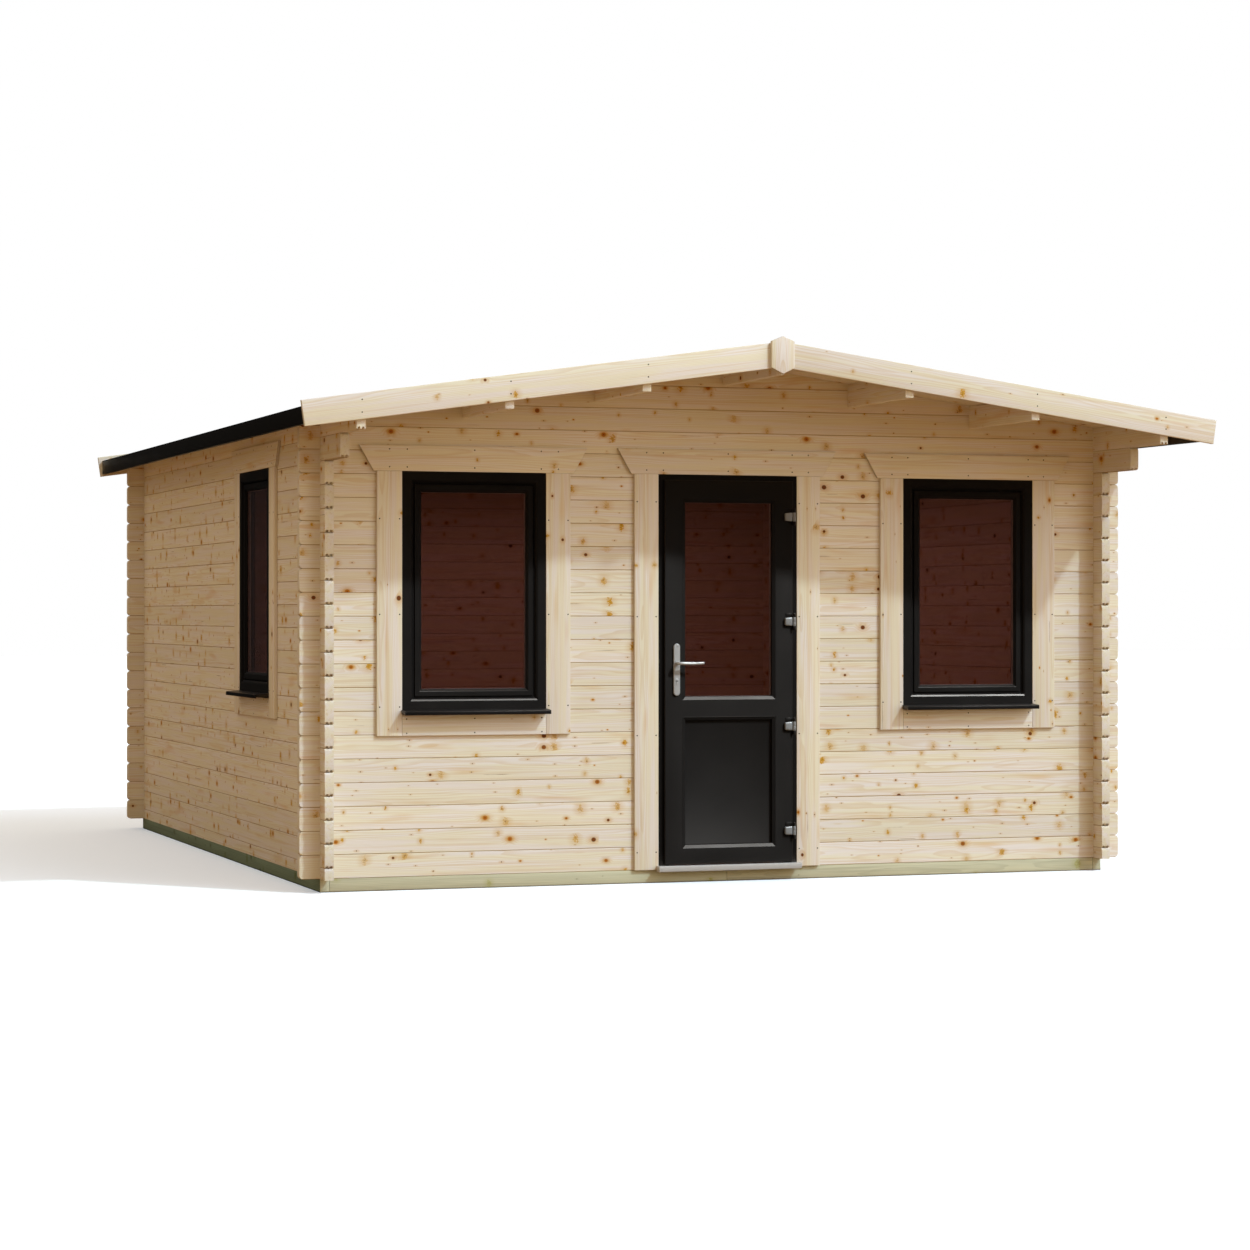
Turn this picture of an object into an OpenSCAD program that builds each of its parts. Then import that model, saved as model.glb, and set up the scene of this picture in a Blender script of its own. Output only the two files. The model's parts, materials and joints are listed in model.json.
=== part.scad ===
// Log cabin with interlocking 44 mm logs, a shallow pitched roof and one half-glazed door.
// Millimetres, +Z up. X runs along the front, Y from the front to the back.
// The origin is on the ground, at the middle of everything the roof covers.

/* [Cabin] */
// Width over the outer faces of the side walls
cabin_w = 4150; // [3900:10:5200]
// Length over the outer faces of the front and back walls
cabin_l = 4750; // [3900:10:6000]

/* [Logs] */
// Thickness of a log
log_t = 44; // [34:1:58]
// Height that one log covers
log_h = 114; // [110:1:122]
// Whole logs in a side wall, above its half log
side_logs = 18; // [18:1:21]
// Length of a log past the corner
tail = 100; // [60:5:160]
// Height and depth of the rounding on a log's end
tail_round = 18; // [6:1:24]
// Depth of the groove where two logs meet
groove = 3; // [1:0.5:5]
// Length of the bracket log past the front wall
bracket = 410; // [200:10:600]

/* [Base and floor] */
// Width of a base bearer
bearer_w = 47; // [40:1:60]
// Height of a base bearer
bearer_h = 65; // [45:1:100]
// Number of floor joists between the side bearers
joist_count = 7; // [5:1:9]
// Thickness of the floor boards
floor_t = 19; // [16:1:28]
// Gap between the floor boards and the walls
floor_gap = 5; // [2:1:12]

/* [Roof] */
// Pitch in degrees
roof_pitch = 8; // [6:0.5:14]
// Roof past the front wall, to the ends of the purlins
front_overhang = 720; // [500:10:900]
// Roof past the back wall, to the ends of the purlins
back_overhang = 100; // [100:10:400]
// Roof boards past the side walls
eaves_overhang = 215; // [150:5:350]
// Thickness of the roof boards
deck_t = 19; // [16:1:28]
// Thickness of the black roof covering
cover_t = 4; // [2:0.5:8]
// Thickness of a purlin
purlin_t = 44; // [34:1:70]
// Depth of a purlin at its middle
purlin_h = 110; // [90:1:114]
// Spacing of the purlins from the ridge outwards
purlin_gap = 673; // [560:1:760]
// Height of the black eaves board
fascia_h = 82; // [60:1:110]
// Thickness of the black eaves board
fascia_t = 20; // [15:1:28]
// Depth of a barge board
barge_h = 121; // [90:1:150]
// Thickness of a barge board and of a finial
barge_t = 20; // [15:1:28]
// Barge board above the roof covering
barge_up = 25; // [5:1:45]
// Barge board past the black eaves board
barge_past = 27; // [0:1:50]
// Width of a finial
finial_w = 118; // [90:1:150]
// Height of a finial's straight sides
finial_side = 127; // [100:1:150]
// Height of a finial's top point above its sides
finial_top = 24; // [10:1:40]
// Height of a finial's bottom point below its sides
finial_drop = 29; // [10:1:50]

/* [Windows] */
// Width of a window frame
window_w = 725; // [560:5:860]
// Height of a window frame
window_h = 1150; // [900:5:1180]
// Window's middle from the cabin's middle
window_x = 1312; // [1120:1:1400]
// Window frame above the base
window_z = 803; // [700:1:830]
// Side window's middle from the front wall
side_window_y = 1415; // [1000:5:2400]
// Width of a window's outer frame
frame_face = 60; // [50:1:75]
// Width of a window's sash
sash_face = 38; // [30:1:60]
// Depth of a frame
frame_d = 70; // [60:1:80]
// Frame in front of the logs
frame_proud = 16; // [8:1:17]
// Sash behind the face of its frame
sash_back = 8; // [4:1:12]
// Thickness of a sealed glass unit
glass_t = 24; // [20:1:28]
// Glass behind the face of its sash
glass_back = 12; // [8:1:16]
// Sill in front of the logs
sill_out = 88; // [50:1:120]
// Height of a sill
sill_h = 24; // [15:1:30]
// Fall of a sill's top, from the frame to its nose
sill_fall = 5; // [1:1:10]

/* [Trim boards] */
// Width of a trim board
trim_w = 125; // [90:1:140]
// Thickness of a trim board
trim_t = 18; // [17:1:24]
// Header past the side boards, at its bottom
header_low = 16; // [0:1:40]
// Header past the side boards, at its top
header_high = 88; // [40:1:110]

/* [Door] */
// Width of the door frame
door_w = 735; // [690:5:900]
// Height of the door frame's top above the ground
door_top = 2021; // [1950:1:2040]
// Door leaf past the frame's opening, over the frame's face
leaf_lap = 32; // [25:1:36]
// Thickness of the part of the leaf that laps the frame
lap_t = 12; // [8:1:16]
// Air between a closed leaf and its frame's face
lap_gap = 5; // [5:0.5:8]
// Air between the leaf's body and the frame around it
leaf_gap = 10; // [9:0.5:14]
// Thickness of the leaf's body behind the lap
leaf_t = 48; // [40:1:54]
// Width of the leaf's stiles and top rail
stile_w = 92; // [85:1:105]
// Height of the leaf's middle rail
mid_rail_h = 83; // [70:1:120]
// Height of the leaf's bottom rail
bottom_rail_h = 78; // [65:1:110]
// Bottom of the door's upper opening above the ground
door_glass_z = 903; // [850:1:950]
// Thickness of the lower door panel
panel_t = 24; // [20:1:28]
// Door glass and panel behind the leaf's face
door_glass_back = 19; // [14:1:22]
// Top of the threshold above the ground
threshold_top = 85; // [80:1:90]
// Threshold in front of the logs
threshold_out = 62; // [45:1:90]
// Threshold past the frame on each side
threshold_past = 10; // [0:1:20]
// Depth of the threshold's front edge
threshold_h = 28; // [20:1:32]

/* [Door hinges and handle] */
// Lowest hinge's middle above the ground
hinge_low = 246; // [200:1:300]
// Spacing of the four hinges
hinge_gap = 523; // [460:1:540]
// Height of a hinge
hinge_h = 84; // [60:1:110]
// Radius of a hinge's barrel
barrel_r = 8; // [7:0.5:9]
// Radius of a hinge's pin
pin_r = 4; // [3:0.5:5]
// Width of a hinge's plate on the leaf
hinge_plate_w = 38; // [25:1:45]
// Thickness of a hinge's plate
hinge_plate_t = 3; // [2:0.5:4]
// Height of the lever above the ground
lever_z = 1086; // [1000:1:1200]
// Spindle from the leaf's edge
backset = 60; // [60:1:75]
// Length of the lever from its spindle
lever_len = 130; // [90:1:150]
// Lever in front of its plate
lever_out = 45; // [35:1:60]
// Radius of the lever's round bar
lever_r = 8; // [6:0.5:9]
// Radius of the spindle
spindle_r = 6; // [5:0.5:7]
// Width of a handle plate
plate_w = 33; // [28:1:40]
// Height of a handle plate
plate_h = 257; // [200:1:280]
// Handle plate above the spindle, to its top end
plate_up = 97; // [80:1:120]
// Thickness of a handle plate
plate_t = 9; // [6:1:12]

/* [Hidden] */

timber = "burlywood";
treated = "darkkhaki";
black = "#202224";
steel = "silver";
tint = "#4a2620";

cut = 1;                    // a cutter runs this far past what it cuts
fit = 0.05;                 // radial clearance of a pin in its bore
deck_gap = 0.1;             // clearance between the roof boards and what carries them
half_w = cabin_w / 2;
slope = tan(roof_pitch);
log_mid = log_h / 2;

// Roof lines, at the cabin's middle
plate_top = bearer_h + (side_logs + 1.5) * log_h;
ridge_z = plate_top + half_w * slope;
vertical = 1 / cos(roof_pitch);
deck_low = ridge_z + deck_gap;
deck_top = deck_low + deck_t * vertical;
cover_top = deck_top + cover_t * vertical;
barge_top = cover_top + barge_up;
deck_edge = half_w + eaves_overhang;
barge_edge = deck_edge + fascia_t + barge_past;
front_end = -front_overhang;
back_end = cabin_l + back_overhang;
gable_z = bearer_h + side_logs * log_h;
end_courses = ceil((ridge_z - bearer_h) / log_h);

// Everything is drawn with Y = 0 on the front wall, then moved to the origin
middle_y = (front_end + back_end) / 2;

// Windows and door
frame_front = -frame_proud;
sash_front = frame_front + sash_back;
glass_front = sash_front + glass_back;
pane_edge = frame_face + sash_face;
door_in = door_w / 2 - frame_face;
lap_front = frame_front - lap_gap - lap_t;
lap_back = lap_front + lap_t;
leaf_back = lap_back + leaf_t;
leaf_half = door_in + leaf_lap;
body_half = door_in - leaf_gap;
leaf_low = threshold_top + lap_gap;
head_in = door_top - frame_face;
leaf_top = head_in + leaf_lap;
body_top = head_in - leaf_gap / 2;
glass_half = leaf_half - stile_w;
glass_top = leaf_top - stile_w;
panel_low = leaf_low + bottom_rail_h;
panel_top = door_glass_z - mid_rail_h;

// Hinge and handle axes
axis_x = leaf_half + pin_r;
hinge_count = 4;
barrel_air = 2;             // between a barrel and the leaf's face
knuckle_gap = 0.5;          // between the two barrels of a hinge
pin_short = 2;              // the pin stops this far below the upper barrel's top
arm_w = 12;
axis_y = lap_front - barrel_r - barrel_air;
barrel_h = (hinge_h - knuckle_gap) / 2;
handle_x = backset - leaf_half;
plate_low = lever_z + plate_up - plate_h;

// ---------- general shapes ----------

module place() {
    translate([0, -middle_y, 0]) children();
}

// A box between two corners
module slab(low, high) {
    translate(low) cube(high - low);
}

// Extrudes an outline of X and Z backwards, from y to y + depth
module front_sheet(y, depth) {
    translate([0, y + depth, 0]) rotate([90, 0, 0]) linear_extrude(depth) children();
}

// Extrudes an outline of Y and Z to the right, from x to x + depth
module side_sheet(x, depth) {
    translate([x, 0, 0]) rotate([90, 0, 90]) linear_extrude(depth) children();
}

// Turns a window that is drawn on the front wall onto the left wall
module on_left_wall() {
    translate([-half_w, side_window_y, log_mid]) rotate([0, 0, -90]) children();
}

// ---------- logs ----------

// Points that round one end of a log, from its bottom joint to its top one
function end_points(x, inwards, z) = [
    for (a = [0, 30, 60, 90])
        [x + inwards * tail_round * (1 - sin(a)), z + tail_round * (1 - cos(a))],
    for (a = [90, 60, 30, 0])
        [x + inwards * tail_round * (1 - sin(a)), z + log_h - tail_round * (1 - cos(a))]
];

// Elevation of a stack of logs with rounded ends, from x0 to x1
module log_outline(x0, x1, z, count) {
    right = [for (k = [0:count - 1]) each end_points(x1, -1, z + k * log_h)];
    left = [for (k = [0:count - 1]) each end_points(x0, 1, z + k * log_h)];
    polygon(concat(right, [for (k = [len(left) - 1:-1:0]) left[k]]));
}

// Section of a stack of logs, with a groove on both faces at each joint
module log_section(z, count) {
    face = [
        for (k = [0:count - 1]) each [
            [groove, z + k * log_h],
            [0, z + k * log_h + groove],
            [0, z + (k + 1) * log_h - groove],
            [groove, z + (k + 1) * log_h]
        ]
    ];
    back = [for (k = [len(face) - 1:-1:0]) [log_t - face[k][0], face[k][1]]];
    polygon(concat(face, back));
}

// Slots in a wall's corner where the crossing logs' necks pass, from course joint z upwards
module neck_slots(x, z, count) {
    for (k = [0:count])
        translate([x, z + k * log_h - log_h / 4]) square([log_t, log_h / 2]);
}

// ---------- base and floor ----------

module side_bearers() color(treated) place() {
    for (side = [0, 1])
        mirror([side, 0, 0])
            slab([half_w - bearer_w, 0, 0], [half_w, cabin_l, bearer_h]);
}

module end_bearers() color(treated) place() {
    for (y = [0, cabin_l - bearer_w])
        slab([bearer_w - half_w, y, 0], [half_w - bearer_w, y + bearer_w, bearer_h]);
}

module floor_joists() color(treated) place() {
    pitch = (cabin_w - 2 * bearer_w) / (joist_count + 1);
    for (k = [1:joist_count])
        translate([k * pitch - half_w + bearer_w / 2, bearer_w, 0])
            cube([bearer_w, cabin_l - 2 * bearer_w, bearer_h]);
}

module floor_boards() color(timber) place() {
    edge = log_t + floor_gap;
    slab([edge - half_w, edge, bearer_h],
         [half_w - edge, cabin_l - edge, bearer_h + floor_t]);
}

// ---------- walls ----------

// Outline of the end walls up to the underside of the roof boards
module gable_outline(courses) {
    intersection() {
        log_outline(-half_w - tail, half_w + tail, bearer_h, courses);
        polygon([
            [-half_w - tail, 0], [half_w + tail, 0],
            [half_w + tail, plate_top - tail * slope], [0, ridge_z],
            [-half_w - tail, plate_top - tail * slope]
        ]);
    }
}

// Everything that crosses an end wall: side logs' necks, eaves plates and purlins
module gable_cuts() {
    for (side = [0, 1])
        mirror([side, 0]) {
            neck_slots(half_w - log_t, bearer_h, side_logs);
            translate([half_w - log_t, plate_top - log_h])
                square([log_t, log_h + eaves_overhang * slope]);
            for (k = [1, 2]) purlin_section(k * purlin_gap, cut);
        }
    purlin_section(0, cut);
}

module end_wall(y) {
    intersection() {
        translate([0, y, 0])
            side_sheet(-half_w - tail, cabin_w + 2 * tail) log_section(bearer_h, end_courses);
        front_sheet(y, log_t) difference() {
            gable_outline(end_courses);
            gable_cuts();
        }
    }
}

// The doorway, down to the base
module doorway() {
    translate([-door_w / 2, 0]) square([door_w, door_top]);
}

// One half of the front wall beside the door; side is -1 on the left and 1 on the right
module front_half(side) {
    difference() {
        intersection() {
            end_wall(0);
            front_sheet(-cut, log_t + 2 * cut) difference() {
                translate([side > 0 ? 0 : -cabin_w, 0]) square([cabin_w, gable_z]);
                translate([-door_w / 2, 0]) square([door_w, gable_z + cut]);
            }
        }
        window_hole(side * window_x);
    }
}

module window_hole(x) {
    translate([x - window_w / 2, -cut, bearer_h + window_z])
        cube([window_w, log_t + 2 * cut, window_h]);
}

module front_wall_left() color(timber) place() front_half(-1);

module front_wall_right() color(timber) place() front_half(1);

// The logs over the door and the gable above them
module front_gable() color(timber) place() {
    intersection() {
        end_wall(0);
        front_sheet(-cut, log_t + 2 * cut) difference() {
            union() {
                translate([-cabin_w, gable_z]) square([2 * cabin_w, gable_z]);
                translate([-door_w / 2, 0]) square([door_w, gable_z + cut]);
            }
            doorway();
        }
    }
}

module back_wall() color(timber) place() end_wall(cabin_l - log_t);

// Side logs between two heights, drawn on the left; front is how far they pass the front wall
module side_courses(low, high, front) {
    base = bearer_h - log_mid;
    intersection() {
        translate([-half_w, 0, 0])
            front_sheet(-front, cabin_l + front + tail) log_section(base, side_logs + 1);
        side_sheet(-half_w, log_t) difference() {
            intersection() {
                log_outline(-front, cabin_l + tail, base, side_logs + 1);
                translate([-front, low]) square([cabin_l + front + tail, high - low]);
            }
            for (y = [0, cabin_l - log_t])
                neck_slots(y, bearer_h + log_mid, side_logs);
        }
    }
}

module side_wall() {
    side_courses(bearer_h, plate_top - 2 * log_h, tail);
}

// The log under the eaves plate, which carries it in front of the front wall
module top_log() {
    side_courses(plate_top - 2 * log_h, plate_top - log_h, bracket);
}

module left_wall() color(timber) place() {
    difference() {
        side_wall();
        on_left_wall() window_hole(0);
    }
}

module right_wall() color(timber) place() mirror([1, 0, 0]) side_wall();

module top_log_left() color(timber) place() {
    difference() {
        top_log();
        on_left_wall() window_hole(0);
    }
}

module top_log_right() color(timber) place() mirror([1, 0, 0]) top_log();

// ---------- roof ----------

// Section of a purlin whose middle is x from the ridge, bevelled to the roof boards
module purlin_section(x, past = 0) {
    inner = x - purlin_t / 2;
    outer = x + purlin_t / 2;
    low = ridge_z - x * slope - purlin_h;
    top_outer = ridge_z - outer * slope + past;
    if (x > 0)
        polygon([[inner, low], [outer, low], [outer, top_outer],
                 [inner, ridge_z - inner * slope + past]]);
    else
        polygon([[inner, low], [outer, low], [outer, top_outer],
                 [0, ridge_z + past], [inner, top_outer]]);
}

module purlin(x, side) {
    mirror([side, 0, 0]) front_sheet(front_end, back_end - front_end) purlin_section(x);
}

module eaves_plate(side) {
    inner = half_w - log_t;
    mirror([side, 0, 0]) front_sheet(front_end, back_end - front_end)
        polygon([[inner, plate_top - log_h], [half_w, plate_top - log_h],
                 [half_w, plate_top], [inner, plate_top + log_t * slope]]);
}

module eaves_plate_left() color(timber) place() eaves_plate(1);

module eaves_plate_right() color(timber) place() eaves_plate(0);

module purlin_pair(x) {
    for (side = [0, 1]) purlin(x, side);
}

module lower_purlins() color(timber) place() purlin_pair(2 * purlin_gap);

module upper_purlins() color(timber) place() purlin_pair(purlin_gap);

module ridge_purlin() color(timber) place() purlin(0, 0);

// Outline of a sloping layer between two heights at the ridge, on the right
module slope_layer(low, high, edge) {
    polygon([[0, low], [edge, low - edge * slope],
             [edge, high - edge * slope], [0, high]]);
}

module roof_deck(side) {
    mirror([side, 0, 0]) front_sheet(front_end, back_end - front_end)
        slope_layer(deck_low, deck_top, deck_edge);
}

module roof_deck_left() color(timber) place() roof_deck(1);

module roof_deck_right() color(timber) place() roof_deck(0);

// One sheet that goes over the ridge
module roof_covering() color(black) place() {
    edge = deck_edge + fascia_t;
    fall = edge * slope;
    front_sheet(front_end, back_end - front_end)
        polygon([[-edge, deck_top - fall], [0, deck_top], [edge, deck_top - fall],
                 [edge, cover_top - fall], [0, cover_top], [-edge, cover_top - fall]]);
}

module eaves_boards() color(black) place() {
    top = deck_top - deck_edge * slope;
    outer_top = top - fascia_t * slope;
    for (side = [0, 1])
        mirror([side, 0, 0]) front_sheet(front_end, back_end - front_end)
            polygon([[deck_edge, top - fascia_h], [deck_edge + fascia_t, top - fascia_h],
                     [deck_edge + fascia_t, outer_top], [deck_edge, top]]);
}

// A barge board with its outer end cut square, on the right
module barge_outline() {
    drop = barge_h * vertical;
    cut_in = barge_h * sin(roof_pitch);
    polygon([
        [0, barge_top], [barge_edge, barge_top - barge_edge * slope],
        [barge_edge - cut_in, barge_top - (barge_edge - cut_in) * slope - drop],
        [0, barge_top - drop]
    ]);
}

module barge(side, y) {
    mirror([side, 0, 0]) front_sheet(y, barge_t) barge_outline();
}

module barge_front_left() color(timber) place() barge(1, front_end - barge_t);

module barge_front_right() color(timber) place() barge(0, front_end - barge_t);

module barge_back_left() color(timber) place() barge(1, back_end);

module barge_back_right() color(timber) place() barge(0, back_end);

module finial_outline() {
    side_top = barge_top;
    side_low = side_top - finial_side;
    polygon([
        [0, side_top + finial_top], [finial_w / 2, side_top],
        [finial_w / 2, side_low], [0, side_low - finial_drop],
        [-finial_w / 2, side_low], [-finial_w / 2, side_top]
    ]);
}

module finials() color(timber) place() {
    for (y = [front_end - 2 * barge_t, back_end + barge_t])
        front_sheet(y, barge_t) finial_outline();
}

// ---------- trim boards and windows, drawn on the front wall with their middle at x ----------

// Boards round an opening, from their lower ends up to a slanted header
module trim(width, low_end, opening_low, top) {
    half = width / 2;
    edge = half + trim_w;
    front_sheet(-trim_t, trim_t) difference() {
        polygon([
            [-edge, low_end], [edge, low_end], [edge, top], [edge + header_low, top],
            [edge + header_high, top + trim_w], [-edge - header_high, top + trim_w],
            [-edge - header_low, top], [-edge, top]
        ]);
        translate([-half, opening_low]) square([width, top - opening_low]);
    }
}

module window_surround() {
    low = bearer_h + window_z;
    trim(window_w, low - trim_w, low - sill_h, low + window_h);
}

module ring(x0, z0, x1, z1, width, y0, y1) {
    difference() {
        slab([x0, y0, z0], [x1, y1, z1]);
        slab([x0 + width, y0 - cut, z0 + width], [x1 - width, y1 + cut, z1 - width]);
    }
}

// Outer frame and sash as one moulded ring
module window_frame() {
    half = window_w / 2;
    low = bearer_h + window_z;
    top = low + window_h;
    inner = frame_face;
    ring(-half, low, half, top, frame_face, frame_front, frame_front + frame_d);
    ring(inner - half, low + inner, half - inner, top - inner, sash_face,
         sash_front, glass_front + glass_t + glass_back);
}

module window_pane() {
    half = window_w / 2 - pane_edge;
    low = bearer_h + window_z + pane_edge;
    high = bearer_h + window_z + window_h - pane_edge;
    slab([-half, glass_front, low], [half, glass_front + glass_t, high]);
}

// Sill under a window frame, sloping to its nose
module sill_body() {
    top = bearer_h + window_z;
    side_sheet(-window_w / 2, window_w)
        polygon([[0, top - sill_h], [-sill_out, top - sill_h], [-sill_out, top - sill_fall],
                 [frame_front, top], [0, top]]);
}

module window_surround_left() color(timber) place() translate([-window_x, 0, 0]) window_surround();

module window_surround_right() color(timber) place() translate([window_x, 0, 0]) window_surround();

module window_surround_side() color(timber) place() on_left_wall() window_surround();

module window_frame_left() color(black) place() translate([-window_x, 0, 0]) window_frame();

module window_frame_right() color(black) place() translate([window_x, 0, 0]) window_frame();

module window_frame_side() color(black) place() on_left_wall() window_frame();

module each_window() {
    translate([-window_x, 0, 0]) children();
    translate([window_x, 0, 0]) children();
    on_left_wall() children();
}

module window_glass() color(tint) place() each_window() window_pane();

module window_sills() color(black) place() each_window() sill_body();

// ---------- door ----------

module door_surround() color(timber) place() {
    trim(door_w, bearer_h, bearer_h - cut, door_top);
}

// Two jambs and a head, standing on the threshold
module door_frame() color(black) place() {
    difference() {
        slab([-door_w / 2, frame_front, threshold_top],
             [door_w / 2, frame_front + frame_d, door_top]);
        slab([-door_in, frame_front - cut, threshold_top - cut],
             [door_in, frame_front + frame_d + cut, head_in]);
    }
}

// Sits on the base, with a nose in front of the trim boards
module threshold() color(steel) place() {
    half = door_w / 2;
    slab([-half, -trim_t, bearer_h], [half, log_t, threshold_top]);
    slab([-half - threshold_past, -threshold_out, threshold_top - threshold_h],
         [half + threshold_past, -trim_t, threshold_top]);
}

// Openings for the glass, the panel and the spindle
module leaf_cuts() {
    for (z = [[door_glass_z, glass_top], [panel_low, panel_top]])
        slab([-glass_half, lap_front - cut, z[0]], [glass_half, leaf_back + cut, z[1]]);
    spindle_hole(lap_front - cut, leaf_back + cut);
}

// The part of the leaf that fills the opening in the frame
module door_leaf() color(black) place() {
    difference() {
        slab([-body_half, lap_back, leaf_low], [body_half, leaf_back, body_top]);
        leaf_cuts();
    }
}

// The front of the leaf, which laps over the frame
module door_leaf_front() color(black) place() {
    difference() {
        slab([-leaf_half, lap_front, leaf_low], [leaf_half, lap_back, leaf_top]);
        leaf_cuts();
    }
}

module door_glass() color(tint) place() {
    slab([-glass_half, lap_front + door_glass_back, door_glass_z],
         [glass_half, lap_front + door_glass_back + glass_t, glass_top]);
}

module door_panel() color(black) place() {
    slab([-glass_half, lap_front + door_glass_back, panel_low],
         [glass_half, lap_front + door_glass_back + panel_t, panel_top]);
}

// ---------- hinges ----------

module each_hinge() {
    for (k = [0:hinge_count - 1])
        translate([0, 0, hinge_low + k * hinge_gap]) children();
}

module barrel(z, height, radius) {
    translate([axis_x, axis_y, z]) cylinder(r = radius, h = height, $fn = 48);
}

// Lower barrel with its pin, on an arm from the frame's face
module frame_hinge() {
    barrel(-hinge_h / 2, barrel_h, barrel_r);
    barrel(-hinge_h / 2, hinge_h - pin_short, pin_r);
    slab([axis_x, axis_y, -hinge_h / 2], [axis_x + arm_w, frame_front, -hinge_h / 2 + barrel_h]);
}

// Upper barrel on a plate screwed to the leaf's face
module leaf_hinge() {
    difference() {
        union() {
            barrel(knuckle_gap / 2, barrel_h, barrel_r);
            slab([leaf_half - hinge_plate_w, lap_front - hinge_plate_t, knuckle_gap / 2],
                 [axis_x, lap_front, hinge_h / 2]);
        }
        barrel(-cut, hinge_h / 2 + 2 * cut, pin_r + fit);
    }
}

module frame_hinges() color(steel) place() each_hinge() frame_hinge();

module leaf_hinges() color(steel) place() each_hinge() leaf_hinge();

// ---------- handle ----------

// A bar along Y, through the handle's axis
module spindle_bar(y0, y1, radius) {
    translate([handle_x, y1, lever_z]) rotate([90, 0, 0])
        cylinder(r = radius, h = y1 - y0, $fn = 48);
}

module spindle_hole(y0, y1) {
    spindle_bar(y0, y1, spindle_r + fit);
}

// A plate with round ends, from y0 to y0 + plate_t
module handle_plate(y0) {
    difference() {
        front_sheet(y0, plate_t) {
            for (z = [plate_low + plate_w / 2, plate_low + plate_h - plate_w / 2])
                translate([handle_x, z]) circle(r = plate_w / 2, $fn = 48);
            translate([handle_x - plate_w / 2, plate_low + plate_w / 2])
                square([plate_w, plate_h - plate_w]);
        }
        spindle_hole(y0 - cut, y0 + plate_t + cut);
    }
}

module handle_plates() color(steel) place() {
    handle_plate(lap_front - plate_t);
    handle_plate(leaf_back);
}

// Levers on both sides of the leaf, joined by the spindle
module lever_handle() color(steel) place() {
    neck_r = lever_r + 1.5;
    air = 1;
    outside = lap_front - plate_t - air;
    inside = leaf_back + plate_t + air;
    spindle_bar(outside - lever_out, inside + lever_out, spindle_r);
    spindle_bar(outside - lever_out, outside, neck_r);
    spindle_bar(inside, inside + lever_out, neck_r);
    for (y = [outside - lever_out + lever_r, inside + lever_out - lever_r])
        translate([handle_x, y, lever_z]) rotate([0, 90, 0])
            cylinder(r = lever_r, h = lever_len, $fn = 48);
}

side_bearers();
end_bearers();
floor_joists();
floor_boards();
front_wall_left();
front_wall_right();
front_gable();
back_wall();
left_wall();
right_wall();
top_log_left();
top_log_right();
eaves_plate_left();
eaves_plate_right();
lower_purlins();
upper_purlins();
ridge_purlin();
roof_deck_left();
roof_deck_right();
roof_covering();
eaves_boards();
barge_front_left();
barge_front_right();
barge_back_left();
barge_back_right();
finials();
window_surround_left();
window_surround_right();
window_surround_side();
window_frame_left();
window_frame_right();
window_frame_side();
window_glass();
window_sills();
door_surround();
door_frame();
threshold();
frame_hinges();
door_leaf();
door_leaf_front();
door_glass();
door_panel();
leaf_hinges();
handle_plates();
lever_handle();
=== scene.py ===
"""Log cabin: the visible pieces of a garden log cabin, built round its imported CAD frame."""

import functools
import json
import math
import random

import bmesh
import bpy
import numpy as np
from bpy.props import FloatProperty, FloatVectorProperty, PointerProperty
from mathutils import Matrix, Vector


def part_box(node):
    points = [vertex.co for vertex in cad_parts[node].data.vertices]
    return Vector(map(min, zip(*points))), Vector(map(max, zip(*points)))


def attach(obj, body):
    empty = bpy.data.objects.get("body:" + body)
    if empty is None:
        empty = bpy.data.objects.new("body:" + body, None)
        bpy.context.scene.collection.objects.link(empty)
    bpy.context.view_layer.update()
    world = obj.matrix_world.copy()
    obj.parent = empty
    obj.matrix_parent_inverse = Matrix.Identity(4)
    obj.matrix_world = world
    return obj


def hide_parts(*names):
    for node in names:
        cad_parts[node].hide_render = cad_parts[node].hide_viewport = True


bl_info = {
    "name": "Log Cabin",
    "version": (1, 0, 0),
    "blender": (4, 5, 0),
    "location": "View3D > Sidebar > Log Cabin",
    "description": "Builds the timber, joinery and ironmongery of a log cabin round its CAD frame",
    "category": "Object",
}

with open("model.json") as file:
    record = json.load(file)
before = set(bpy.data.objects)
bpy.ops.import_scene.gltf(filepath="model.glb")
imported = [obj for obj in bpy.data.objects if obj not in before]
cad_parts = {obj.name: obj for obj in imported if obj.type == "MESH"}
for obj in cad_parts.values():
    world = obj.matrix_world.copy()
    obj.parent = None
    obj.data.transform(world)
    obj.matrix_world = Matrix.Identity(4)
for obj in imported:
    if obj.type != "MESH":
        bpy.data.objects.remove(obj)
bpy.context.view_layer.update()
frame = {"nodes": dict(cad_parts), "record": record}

MM = 0.001
X, Y, Z = Vector((1, 0, 0)), Vector((0, 1, 0)), Vector((0, 0, 1))
ROOF_PITCH = math.radians(8)
SLOPE = math.tan(ROOF_PITCH)
JOINTS = {j["name"]: j for j in frame["record"]["behaviour"]["joints"]}


def linear(hexadecimal):
    """Linear red, green and blue of an sRGB hex colour."""
    parts = [int(hexadecimal[k:k + 2], 16) / 255 for k in (0, 2, 4)]
    return tuple(c / 12.92 if c <= 0.04045 else ((c + 0.055) / 1.055) ** 2.4 for c in parts)


# ---------- settings ----------


def length(name, description, millimetres, low=0.0):
    return FloatProperty(name=name, description=description, default=millimetres * MM,
                         min=low, unit="LENGTH", subtype="DISTANCE", precision=4)


def colour(name, description, hexadecimal):
    return FloatVectorProperty(name=name, description=description, size=3, min=0, max=1,
                               default=linear(hexadecimal), subtype="COLOR")


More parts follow.
